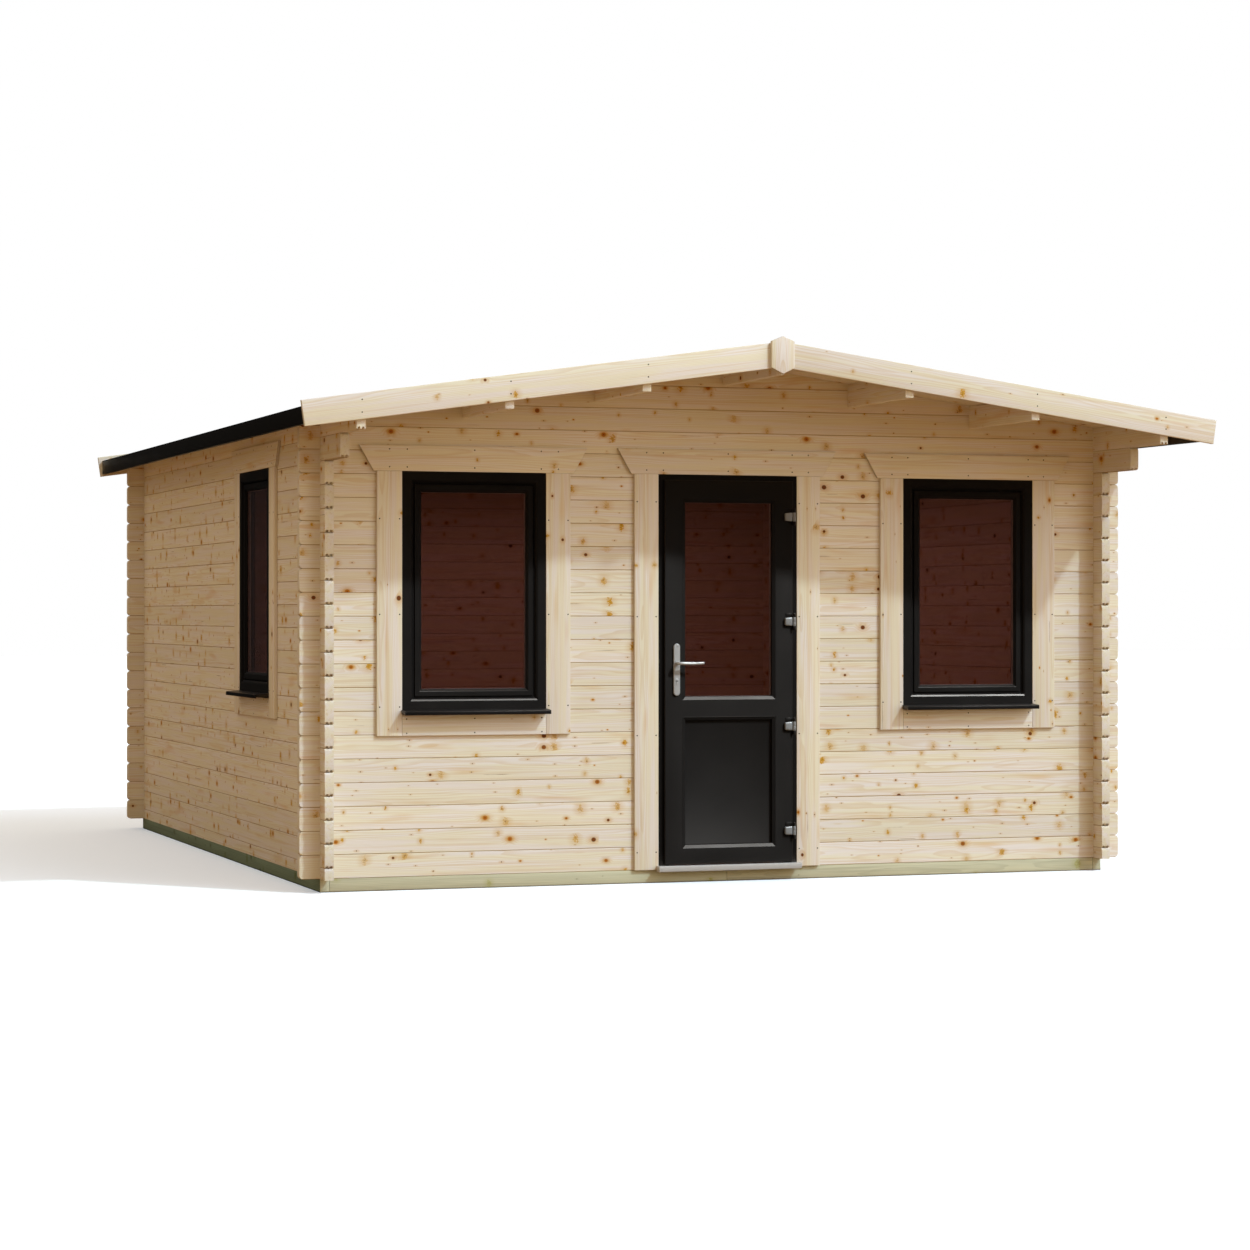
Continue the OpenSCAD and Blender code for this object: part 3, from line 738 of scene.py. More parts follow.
def palette():
    """The materials, made once."""
    if palette.made:
        return palette.made
    scene = bpy.context.scene
    timber, joinery, metal = scene.cabin_timber, scene.cabin_joinery, scene.cabin_metal
    made = palette.made
    tones = [tuple(c) for c in (timber.pale, timber.straw, timber.late, timber.amber, timber.knot)]
    half_log = timber.log_height / MM / 2
    # Planed spruce logs: pale, with many knots and a darker line where two logs meet
    made["log"] = spruce("planed_spruce_log", tones, joint=half_log)
    # Planed spruce boards for trims, barges and finials: the clearer grade, fewer knots
    made["trim"] = spruce("planed_spruce_trim", tones, knots=0.28, tone=0.06, ends=0.3)
    # Roof and floor boards, purlins: the same spruce, its boards less alike
    made["board"] = spruce("planed_spruce_board", tones, knots=0.9, tone=0.14)
    # Pressure treated softwood: copper salts leave a pale olive green, knots stay brown. A darker,
    # greener second copy goes on the long faces of the side bearers and joists as painted shade,
    # and both darken over their lowest 9 mm as a painted contact shadow
    for key, base in (("treated", timber.treated), ("painted_shade", timber.painted_shade)):
        made[key] = spruce(f"{key}_softwood", [tuple(c * share_of for c in base)
                           for share_of in (1.0, 0.92, 0.66, 0.7, 0.3)], knots=0.5, foot=9.0)
    # Calendered rubber sheet: black, dull, with a faint bloom of dust
    made["membrane"] = membrane("epdm_rubber_membrane", tuple(metal.membrane))
    # Foiled PVC-U profile: near black, with a soft satin highlight on its edges
    made["profile"] = moulded("satin_black_pvcu_foil", tuple(joinery.profile), 0.4)
    # The door's foil is the same black with a slightly broader sheen
    made["leaf"] = moulded("satin_black_door_foil", tuple(joinery.profile), 0.5)
    # Grey plastic bar that keeps the two sheets of a glass unit apart
    made["spacer"] = moulded("grey_spacer_bar", linear("9a9a9a"), 0.6)
    # Extruded rubber seals: black, with almost no highlight
    made["gasket"] = moulded("black_epdm_gasket", tuple(joinery.gasket), 0.75)
    # Float glass with a brown body tint: dark from outside, with a sharp reflection
    made["glass"] = tinted_glass("bronze_tinted_glass", tuple(joinery.tint))
    # Satin anodised handles: pale grey with a soft, wide highlight
    made["steel"] = satin_metal("satin_anodised_handle", tuple(metal.steel), 0.45, 0.55)
    # Lacquered zinc hinges: a duller mid grey
    made["hinge"] = satin_metal("lacquered_hinge_zinc", tuple(metal.hinge), 0.45, 0.6)
    # Anodised threshold: pale, nearly matt
    made["aluminium"] = satin_metal("anodised_aluminium", tuple(metal.aluminium), 0.5, 0.4)
    # Galvanised nails, darkened in the wood: small dark dots
    made["nail"] = satin_metal("galvanised_nail_steel", linear("3c332a"), 0.6)
    return made


palette.made = {}


def membrane(name, tone):
    """EPDM sheet: matt black rubber, slightly uneven where it lies on the boards, a little dust.
    Its fine texture is drawn coarser than the real one, so that it shows."""
    material, tree, shader = new_material(name, Specular_IOR_Level=0.12)
    node = functools.partial(add_node, tree)
    place = node("TexCoord").outputs["Object"]
    broad = node("TexNoise", {"Vector": place, "Scale": 1 / (588 * MM), "Detail": 3.0})
    fine = node("TexNoise", {"Vector": place, "Scale": 1 / (3.85 * MM), "Detail": 2.0})
    dust = node("MapRange", [broad, 0.4, 0.8, 0.0, 0.2])
    surface = node("Mix", {0: dust, 6: (*tone, 1), 7: (*(c + 0.01 for c in tone), 1)}, **COLOUR)
    rough = node("MapRange", [broad, 0.3, 0.7, 0.64, 0.72])
    bump = node("Bump", {"Height": fine, "Strength": 0.3, "Distance": 0.3 * MM})
    tree.links.new(surface.outputs[2], shader.inputs["Base Color"])
    tree.links.new(rough.outputs[0], shader.inputs["Roughness"])
    tree.links.new(bump.outputs[0], shader.inputs["Normal"])
    return material


def moulded(name, tone, rough):
    """Extruded or moulded plastic: even colour, fine leather-like foil texture, drawn coarser than
    the real one so that it shows."""
    material, tree, shader = new_material(name, Specular_Tint=(*linear("ffefe4"), 1))
    node = functools.partial(add_node, tree)
    place = node("TexCoord").outputs["Object"]
    fine = node("TexNoise", {"Vector": place, "Scale": 1 / (2.38 * MM), "Detail": 2.0})
    soft = node("TexNoise", {"Vector": place, "Scale": 1 / (167 * MM), "Detail": 2.0})
    surface = node("Mix", {0: soft, 6: (*tone, 1), 7: (*(c * 1.35 for c in tone), 1)}, **COLOUR)
    roughness = node("MapRange", [soft, 0.3, 0.7, rough - 0.02, rough + 0.02])
    bump = node("Bump", {"Height": fine, "Strength": 0.2, "Distance": 0.1 * MM})
    tree.links.new(surface.outputs[2], shader.inputs["Base Color"])
    tree.links.new(roughness.outputs[0], shader.inputs["Roughness"])
    tree.links.new(bump.outputs[0], shader.inputs["Normal"])
    return material


def satin_metal(name, tone, rough, bare=1.0):
    """Brushed or plated metal: soft highlight with fine lines, drawn coarser than real brushing. A
    clouded oxide or lacquer scatters light, so anodised parts are less than wholly bare."""
    material, tree, shader = new_material(name, Metallic=bare)
    node = functools.partial(add_node, tree)
    place = node("TexCoord").outputs["Object"]
    lines = node("Mapping", {"Vector": place, "Scale": (1 / (25 * MM), 1 / (25 * MM),
                                                        1 / (1.11 * MM))})
    brushed = node("TexNoise", {"Vector": lines, "Scale": 1.0, "Detail": 3.0})
    surface = node("Mix", {0: brushed, 6: (*(c * 0.88 for c in tone), 1), 7: (*tone, 1)}, **COLOUR)
    roughness = node("MapRange", [brushed, 0.3, 0.7, rough - 0.07, rough + 0.07])
    tree.links.new(surface.outputs[2], shader.inputs["Base Color"])
    tree.links.new(roughness.outputs[0], shader.inputs["Roughness"])
    return material


def tinted_glass(name, tint):
    """Sealed double glazing with a brown body tint: see-through, darkening, with a clear mirror."""
    material, tree, shader = new_material(name)
    tree.nodes.remove(shader)
    node = functools.partial(add_node, tree)
    through = node("BsdfTransparent", {"Color": (*tint, 1)})
    mirror = node("BsdfGlossy", {"Color": (1, 1, 1, 1), "Roughness": 0.03})
    facing_away = node("LayerWeight", {"Blend": 0.5}).outputs["Facing"]
    steep = node("Math", [facing_away, 5.0], operation="POWER")
    share_of = node("Math", [steep, 0.8, 0.015], operation="MULTIPLY_ADD")
    both = node("MixShader", [share_of, through, mirror])
    tree.links.new(both.outputs[0], tree.nodes["Material Output"].inputs["Surface"])
    return material


# ---------- operators ----------

# Grooves along the underside of a log or plate, in mm from its middle and its underside
GROOVES = [[(-16.5, -2), (-15.5, 11), (-4.8, 11), (-2.8, -2)],
           [(2.8, -2), (4.8, 11), (15.5, 11), (16.5, -2)]]
# The notch between the two tongues, from the joint
NOTCH = [(-2.2, 0.5), (2.2, 0.5), (1.0, -5.0), (-1.0, -5.0)]


class LogWalls(bpy.types.Operator):
    """Log walls with open tongue and groove at the ends of the logs"""

    bl_idname = "cabin.log_walls"
    bl_label = "Log Walls"

    def slots(self, first_joint, axis, plane, ends, depth, height, count):
        """Cutters for what shows of the double tongue and groove, at each end of each joint."""
        made = []
        for outline in (*GROOVES, NOTCH):
            points = [(plane + u * MM, first_joint + v * MM) for u, v in outline]
            made += [extruded(points, axis, tip - inwards * 5 * MM, tip + inwards * depth)
                     for tip, inwards in ends]
        return repeated(joined(made, "slots"), count, (0, 0, height))

    def execute(self, context):
        timber = context.scene.cabin_timber
        height, depth = timber.log_height, timber.slot_depth
        end_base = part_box("end_bearers")[1].z
        side_base = end_base - height / 2
        material = palette()["log"]
        walls = [("front_wall_left", X), ("front_wall_right", X), ("front_gable", X),
                 ("back_wall", X), ("left_wall", Y), ("right_wall", Y), ("top_log_left", Y),
                 ("top_log_right", Y)]
        for node, along in walls:
            low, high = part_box(node)
            piece = cad_copy(node, node + "_logs")
            base = end_base if along == X else side_base
            plane = (low.y + high.y) / 2 if along == X else (low.x + high.x) / 2
            first, last = (low.x, high.x) if along == X else (low.y, high.y)
            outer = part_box("front_gable")[0].x + 1 * MM
            ends = []
            if along == Y or first < outer:
                ends.append((first, 1))
            if along == Y or last > -outer:
                ends.append((last, -1))
            # Joints between whole logs; a gable has open ends only as high as the side walls
            top = high.z - 20 * MM
            if node == "front_gable":
                top = min(top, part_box("top_log_left")[1].z)
            joints = [base + k * height for k in range(1, 24)
                      if low.z + 20 * MM < base + k * height < top]
            if joints and ends:
                carve(piece, [self.slots(joints[0], along, plane, ends, depth, height,
                                         len(joints))])
            if node.startswith("top_log"):
                z = low.z - 0.02 * MM
                grooves = [extruded([(plane + u * MM, z + v * MM) for u, v in outline], Y,
                                    first - 5 * MM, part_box("front_gable")[0].y - 102 * MM)
                           for outline in GROOVES]
                carve(piece, grooves)
            shade_by_angle(piece, 25)
            lay_grain(piece, along, Z,
                      board_of=lambda c: math.floor((c.z - base) / height),
                      middle_of=lambda n: base + (n + 0.5) * height)
            finished(piece, "cabin", "softwood", [node], material)
        return {"FINISHED"}


class BaseTimbers(bpy.types.Operator):
    """Pressure treated bearers and joists that the cabin stands on"""

    bl_idname = "cabin.base_timbers"
    bl_label = "Base Timbers"

    def execute(self, context):
        edge = context.scene.cabin_timber.edge
        made = palette()
        material = made["treated"]
        for node, along in (("side_bearers", Y), ("end_bearers", X), ("floor_joists", Y)):
            pieces, first_made = [], None
            for low, high in solids(node):
                # The end bearers come in two lengths that meet at the middle
                cuts = [low.x, 0.0, high.x] if along == X else [low.x, high.x]
                gap = 0.8 * MM if along == X else 0.0
                for first, last in zip(cuts, cuts[1:]):
                    corner = Vector((first + gap * (first == 0), low.y, low.z))
                    if first_made is None:
                        start = corner
                        first_made = round_edges(block(corner, (last - gap * (last == 0), high.y,
                                                                high.z)), edge * 1.5)
                    copy = duplicate(first_made, "timber", corner - start)
                    pieces.append(lay_grain(copy, along, Z))
            bpy.data.objects.remove(first_made)
            piece = finished(joined(pieces, node + "_timber"), "cabin", "treated_softwood", [node],
                             material, made["painted_shade"])
            # Side bearers and joists take the darker copy on all faces but their ends: painted
            # shade
            for polygon in piece.data.polygons:
                polygon.material_index = int(along == Y and abs(polygon.normal.y) < 0.5)
        return {"FINISHED"}


class FloorBoards(bpy.types.Operator):
    """Tongued and grooved floor boards across the joists"""

    bl_idname = "cabin.floor_boards"
    bl_label = "Floor Boards"

    def execute(self, context):
        timber = context.scene.cabin_timber
        low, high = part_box("floor_boards")
        count = round((high.y - low.y) / timber.floor_board)
        pitch = (high.y - low.y) / count
        board = block(low, (high.x, low.y + pitch, high.z), "floor_boards_laid")
        shape(board, "EDGE", lambda e: all(v.co.z > high.z - MM for v in e.verts)
              and abs(e.verts[0].co.y - e.verts[1].co.y) < MM)
        bpy.ops.mesh.bevel(offset=1.6 * MM, segments=2, affect="EDGES")
        done()
        repeated(board, count, (0, pitch, 0))
        lay_grain(board, X, Y, board_of=lambda c: int((c.y - low.y) / pitch))
        finished(board, "cabin", "softwood", ["floor_boards"], palette()["board"])
        return {"FINISHED"}


class RoofTimbers(bpy.types.Operator):
    """Eaves plates and purlins, with rounded edges and open grooves at the plates' front ends"""

    bl_idname = "cabin.roof_timbers"
    bl_label = "Roof Timbers"

    def execute(self, context):
        edge = context.scene.cabin_timber.edge
        made = palette()
        for node in ("eaves_plate_left", "eaves_plate_right", "lower_purlins", "upper_purlins",
                     "ridge_purlin"):
            low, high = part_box(node)
            piece = round_edges(cad_copy(node, node + "_timber"), edge * 1.5)
            if node.startswith("eaves"):
                middle = (low.x + high.x) / 2
                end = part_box("top_log_left")[0].y - 2 * MM
                carve(piece, [extruded([(middle + u * MM, low.z + v * MM) for u, v in outline], Y,
                                       low.y - 5 * MM, end) for outline in GROOVES])
                shade_by_angle(piece, 30)
            lay_grain(piece, Y, Z, board_of=lambda c: c.x > 0)
            finished(piece, "cabin", "softwood", [node], made["board"])
        return {"FINISHED"}


class RoofBoards(bpy.types.Operator):
    """V-jointed roof boards from the ridge down to the eaves, and their covering"""

    bl_idname = "cabin.roof_boards"
    bl_label = "Roof Boards and Covering"

    def execute(self, context):
        timber = context.scene.cabin_timber
        made = palette()
        low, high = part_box("roof_deck_right")
        thick = (high.z - low.z) - (high.x - low.x) * SLOPE
        count = round((high.y - low.y) / timber.roof_board)
        pitch = (high.y - low.y) / count
        fall = high.x * SLOPE
        gap = timber.board_gap / 2
        outline = [(0, high.z - thick), (high.x, high.z - thick - fall), (high.x, high.z - fall),
                   (0, high.z)]
        board = extruded(outline, Y, low.y + gap, low.y + pitch - gap, "roof_boards_right")
        # The long lower edges, which show from below as a V
        shape(board, "EDGE", lambda e: e.calc_length() > 1
              and all(v.co.z < high.z - thick / 2 - v.co.x * SLOPE for v in e.verts))
        bpy.ops.mesh.bevel(offset=3 * MM, segments=1, affect="EDGES")
        done()
        repeated(board, count, (0, pitch, 0))
        other = mirrored(board, "roof_boards_left")
        for piece, side in ((board, 1), (other, -1)):
            down = Vector((side, 0, -SLOPE)).normalized()
            lay_grain(piece, down, Y, board_of=lambda c: int((c.y - low.y) / pitch))
            node = "roof_deck_right" if side > 0 else "roof_deck_left"
            finished(piece, "cabin", "softwood", [node], made["board"])

        covering = cad_copy("roof_covering", "roof_covering_sheet")
        shape(covering, "EDGE", lambda e: all(abs(v.co.x) < MM for v in e.verts)
              and e.calc_length() > 1)
        bpy.ops.mesh.bevel(offset=30 * MM, segments=6, affect="EDGES")
        done()
        shade_by_angle(covering, 20)
        finished(covering, "cabin", "roof_membrane", ["roof_covering"], made["membrane"])

        boards = round_edges(cad_copy("eaves_boards", "eaves_boards_black"), timber.edge)
        finished(boards, "cabin", "black_upvc", ["eaves_boards"], made["profile"])
        return {"FINISHED"}


class BargeBoards(bpy.types.Operator):
    """Barge boards and finials, nailed to the ends of the purlins"""

    bl_idname = "cabin.barge_boards"
    bl_label = "Barge Boards"

    def execute(self, context):
        timber = context.scene.cabin_timber
        made = palette()
        for node in ("barge_front_left", "barge_front_right", "barge_back_left",
                     "barge_back_right"):
            side = 1 if node.endswith("right") else -1
            piece = round_edges(cad_copy(node, node + "_board"), timber.edge * 1.5, 3)
            down = Vector((side, 0, -SLOPE)).normalized()
            lay_grain(piece, down, Vector((side * SLOPE, 0, 1)).normalized())
            finished(piece, "cabin", "softwood", [node], made["trim"])
        piece = round_edges(cad_copy("finials", "finial_boards"), timber.edge * 1.5, 3)
        lay_grain(piece, Z, X, board_of=lambda c: c.y > 0)
        finished(piece, "cabin", "softwood", ["finials"], made["trim"])

        carriers = [(low + high) / 2 for node in ("eaves_plate_left", "eaves_plate_right",
                    "lower_purlins", "upper_purlins") for low, high in solids(node)]
        low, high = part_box("barge_front_left")
        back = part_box("barge_back_left")[1].y
        places = []
        for carrier in carriers:
            middle = high.z - abs(carrier.x) * SLOPE - timber.barge / math.cos(ROOF_PITCH) / 2
            for up in (-0.5, 0.5):
                for face, out in ((low.y, -Y), (back, Y)):
                    places.append((Vector((carrier.x, face, middle + up * timber.nail_pair)), out))
        finished(nails(places, timber.nail, "barge_nails"), "cabin", "hinge_metal", (),
                 made["nail"])
        return {"FINISHED"}


class TrimBoards(bpy.types.Operator):
    """Nailed trim boards round the windows and the door, under headers with slanted ends"""

    bl_idname = "cabin.trim_boards"
    bl_label = "Trim Boards"

    def boards(self, width, height, low, sill, settings):
        """Boards round an opening: its middle is X 0, its bottom Z 0 and the wall's face Y 0."""
        half, wide, edge = width / 2, settings.trim, settings.edge * 1.25
        thick = settings.trim_thickness
        left = round_edges(block((-half - wide, -thick, low), (-half, 0, height)), edge, 3)
        made = [(left, Z, X), (duplicate(left, "block", (width + wide, 0, 0)), Z, X)]
        if sill is not None:
            piece = round_edges(block((-half, -thick, low), (half, 0, sill)), edge, 3)
            made.append((piece, X, Z))
        outer = half + wide
        foot, tip = outer + settings.header_foot, outer + settings.header_tip
        outline = [(foot, height), (tip, height + wide), (-tip, height + wide), (-foot, height)]
        piece = round_edges(extruded(outline, Y, -thick, 0), edge, 3)
        made.append((piece, X, Z))
        return made

    def nail_places(self, width, height, low, sill, rows, settings):
        """Places and directions of the nails in those boards, with a row at each height."""
        half, wide = width / 2, settings.trim
        inset, face = 13 * MM, -settings.trim_thickness
        spots = [(side * (half + d), z) for side in (-1, 1) for d in (inset, wide - inset)
                 for z in rows]
        spots += [(x, height + d) for x in (-half - wide / 2, -half + 25 * MM, 0,
                  half - 25 * MM, half + wide / 2) for d in (inset * 1.5, wide - inset * 1.5)]
        if sill is not None:
            spots += [(x, z) for x in (-half + 22 * MM, 0, half - 22 * MM)
                      for z in (low + inset, sill - inset * 1.5)]
        return [(Vector((x, face, z)), -Y) for x, z in spots]

    def execute(self, context):
        settings = context.scene.cabin_timber
        made = palette()
        low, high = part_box("window_frame_left")
        width, height = high.x - low.x, high.z - low.z
        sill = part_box("window_sills")[0].z - low.z
        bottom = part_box("window_surround_left")[0].z - low.z
        shapes = self.boards(width, height, bottom, sill, settings)
        rows = [15 * MM, height * 0.4, height * 0.8]
        heads = nails(self.nail_places(width, height, bottom, sill, rows, settings),
                      settings.nail, "heads")
        for place, (turn, spot) in window_places().items():
            pieces = []
            for shape_made, along, across in shapes:
                copy = placed(shape_made, "trim", turn, spot)
                along, across = (turned(v, turn) for v in (along, across))
                pieces.append(lay_grain(copy, along, across))
            node = "window_surround_" + place
            finished(joined(pieces, "window_trim_" + place), "cabin", "softwood", [node],
                     made["trim"])
            finished(placed(heads, f"window_trim_{place}_nails", turn, spot), "cabin",
                     "hinge_metal", (), made["nail"])
        for spare in [heads] + [s[0] for s in shapes]:
            bpy.data.objects.remove(spare)

        frame_low, frame_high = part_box("door_frame")
        low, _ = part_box("door_surround")
        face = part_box("front_gable")[0].y
        width, height = frame_high.x - frame_low.x, frame_high.z - low.z
        pieces = [lay_grain(piece, along, across) for piece, along, across in
                  self.boards(width, height, 0.0, None, settings)]
        spot = Vector((0, face, low.z))
        rows = [height * part for part in (0.045, 0.34, 0.64, 0.93)]
        heads = nails(self.nail_places(width, height, 0.0, None, rows, settings), settings.nail,
                      "heads")
        finished(move_to(joined(pieces, "door_trim"), spot), "cabin", "softwood",
                 ["door_surround"], made["trim"])
        finished(move_to(named(heads, "door_trim_nails"), spot), "cabin", "hinge_metal", (),
                 made["nail"])
        return {"FINISHED"}


class Windows(bpy.types.Operator):
    """Windows: moulded frames, stepped sashes, seals, double glazing and sills"""

    bl_idname = "cabin.windows"
    bl_label = "Windows"

    def execute(self, context):
        joinery = context.scene.cabin_joinery
        made = palette()
        low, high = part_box("window_frame_left")
        half, height = (high.x - low.x) / 2, high.z - low.z
        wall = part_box("front_gable")[0].y
        front, back = low.y - wall, high.y - wall
        face, bevel = joinery.frame_face / MM, joinery.frame_bevel / MM
        gap, bead = joinery.seal_gap / MM, joinery.bead / MM
        whole = joinery.frame_whole / MM
        frame_piece = moulding((-half, front, 0), (half, back, height),
                               [(face - 2, 0), (7.5, -3.4), (bevel - 5.5, -9.1), (0, -5.5),
                                (whole - face - bevel, 0)],
                               [(whole - 3, 0), (3, -3)], "frame")
        round_edges(frame_piece, 1.2 * MM, 2, 40)

        # The sash: its face stands forward of a wider body that closes on the seal
        edge = whole + 0.3
        sash_front = front + joinery.sash_back
        step = gap - (whole - face - bevel) - 0.3
        sash = moulding((-half + edge * MM, sash_front + 13 * MM, edge * MM),
                        (half - edge * MM, back - 14 * MM, height - edge * MM),
                        [(step, 0), (0, 13), (joinery.sash_face / MM - step - bead, 0),
                         (bead, -11)],
                        [(joinery.sash_face / MM - 8, 0), (8, -5)], "sash")
        round_edges(sash, 1.0 * MM, 2, 35)

        # Seals: one between frame and sash, one round the glass
        ring = (face + bevel + 0.6) * MM
        seal = moulding((-half + ring, sash_front + 7 * MM, ring),
                        (half - ring, sash_front + 14 * MM, height - ring),
                        [(1.2, 1.2), (2.0, 0.4), (1.2, -1.6)], [(4.4, 0)], "seal")
        pane_edge = (whole + joinery.sash_face / MM) * MM
        glass_front = sash_front + joinery.glass_back
        lip = moulding((-half + pane_edge - MM, glass_front - 2 * MM, pane_edge - MM),
                       (half - pane_edge + MM, glass_front, height - pane_edge + MM),
                       [(0.8, 0.6), (2.2, -1.6)], [(3, 0)], "lip")
        seals = joined([seal, lip], "seals")
        shade_by_angle(seals, 50)

        panes = []
        for start in (glass_front, glass_front + joinery.glass_unit - joinery.glass_sheet):
            sheet = block((-half + pane_edge - 0.2 * MM, start, pane_edge - 0.2 * MM),
                          (half - pane_edge + 0.2 * MM, start + joinery.glass_sheet,
                           height - pane_edge + 0.2 * MM))
            panes.append(round_edges(sheet, 0.6 * MM, 1))
        glass = joined(panes, "glass")
        start = glass_front + joinery.glass_sheet + 0.1 * MM
        bar = moulding((-half + pane_edge, start, pane_edge),
                       (half - pane_edge, start + joinery.glass_unit
                        - 2 * joinery.glass_sheet - 0.2 * MM, height - pane_edge),
                       [(3.5, 0)], [(3.5, 0)], "spacer_bar")

        sill_low, sill_high = solids("window_sills")[1]
        depth, thick = wall - sill_low.y, sill_high.z - sill_low.z
        outline = [(0, 0), (front / MM, 0), (-depth / MM + 3, -4.8), (-depth / MM, -7.5),
                   (-depth / MM, -thick / MM), (-depth / MM + 5, -thick / MM),
                   (-depth / MM + 6, -thick / MM + 4), (0, -thick / MM + 4)]
        outline = [(u * MM, v * MM) for u, v in outline]
        sill = extruded(outline, X, -half, half, "sill")
        round_edges(sill, 0.8 * MM, 2, 35)
        cap_wide = 4 * MM
        cap = extruded([(u - 1 * MM * (u < -MM), v + 0.8 * MM * (v > -10 * MM))
                        for u, v in outline], X, -half - cap_wide, -half)
        round_edges(cap, 0.8 * MM, 2, 35)
        sill = joined([sill, cap, duplicate(cap, "cap", (2 * half + cap_wide, 0, 0))], "sill")

        parts = [(frame_piece, "frame", "black_upvc", "profile"),
                 (sash, "sash", "black_upvc", "profile"),
                 (seals, "seals", "black_upvc", "gasket"),
                 (glass, "glass", "tinted_glass", "glass"),
                 (bar, "spacer_bar", "black_upvc", "spacer"),
                 (sill, "sill", "black_upvc", "profile")]
        stands_for = {"frame": "window_frame_{}", "glass": "window_glass", "sill": "window_sills"}
        for place, (turn, spot) in window_places().items():
            for piece, part, slot, material in parts:
                copy = placed(piece, f"window_{place}_{part}", turn, spot)
                nodes = [stands_for[part].format(place)] if part in stands_for else []
                finished(copy, "cabin", slot, nodes, made[material])
        for piece, *_ in parts:
            bpy.data.objects.remove(piece)
        return {"FINISHED"}


class DoorFrame(bpy.types.Operator):
    """Door frame with its seal, lock keep and aluminium threshold"""

    bl_idname = "cabin.door_frame"
    bl_label = "Door Frame"

    def execute(self, context):
        joinery = context.scene.cabin_joinery
        made = palette()
        low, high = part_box("door_frame")
        whole = joinery.frame_whole / MM
        jambs = moulding((low.x, low.y, low.z - 0.1), high,
                         [(31, 0), (1.5, -3), (whole - 36.5, 0), (4, -4)],
                         [(whole - 3, 0), (3, -3)], "door_frame_profile")
        round_edges(cut_off(jambs, low.z), 1.2 * MM, 2, 40)
        finished(jambs, "cabin", "black_upvc", ["door_frame"], made["profile"])

        edge = (whole - 18) * MM
        seal = moulding((low.x + edge, low.y - 1 * MM, low.z - 0.1),
                        (high.x - edge, low.y + 3 * MM, high.z - edge),
                        [(1.5, 1), (3, 0), (1.5, -1)], [(6, 0)], "door_seal")
        shade_by_angle(cut_off(seal, low.z), 50)
        finished(seal, "cabin", "black_upvc", (), made["gasket"])

        inner = low.x + joinery.frame_whole
        middle = (low.y + high.y) / 2 - 10 * MM
        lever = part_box("lever_handle")
        lever_z = (lever[0].z + lever[1].z) / 2
        keep = round_edges(block((inner - MM, middle - 12 * MM, lever_z - 150 * MM),
                                 (inner + 1.5 * MM, middle + 12 * MM, lever_z + 70 * MM)),
                           0.6 * MM, 1)
        carve(keep, [block((inner - 0.5 * MM, middle - 7 * MM, lever_z + z * MM),
                           (inner + 3 * MM, middle + 7 * MM, lever_z + (z + tall) * MM))
                     for z, tall in ((-14, 28), (-122, 40))])
        named(keep, "lock_keep")
        finished(keep, "cabin", "satin_steel", (), made["steel"])

        low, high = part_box("threshold")
        piece = cad_copy("threshold", "threshold_profile")
        shape(piece, "EDGE", lambda e: e.calc_length() > 0.6
              and all(v.co.y < low.y + 2 * MM for v in e.verts))
        bpy.ops.mesh.bevel(offset=2.5 * MM, segments=3, affect="EDGES")
        done()
        carve(piece, [block((low.x - 5 * MM, low.y + y * MM, high.z - 1 * MM),
                            (high.x + 5 * MM, low.y + (y + 2.5) * MM, high.z + 1 * MM))
                      for y in (9, 14, 19)])
        shade_by_angle(piece, 30)
        finished(piece, "cabin", "aluminium", ["threshold"], made["aluminium"])
        return {"FINISHED"}


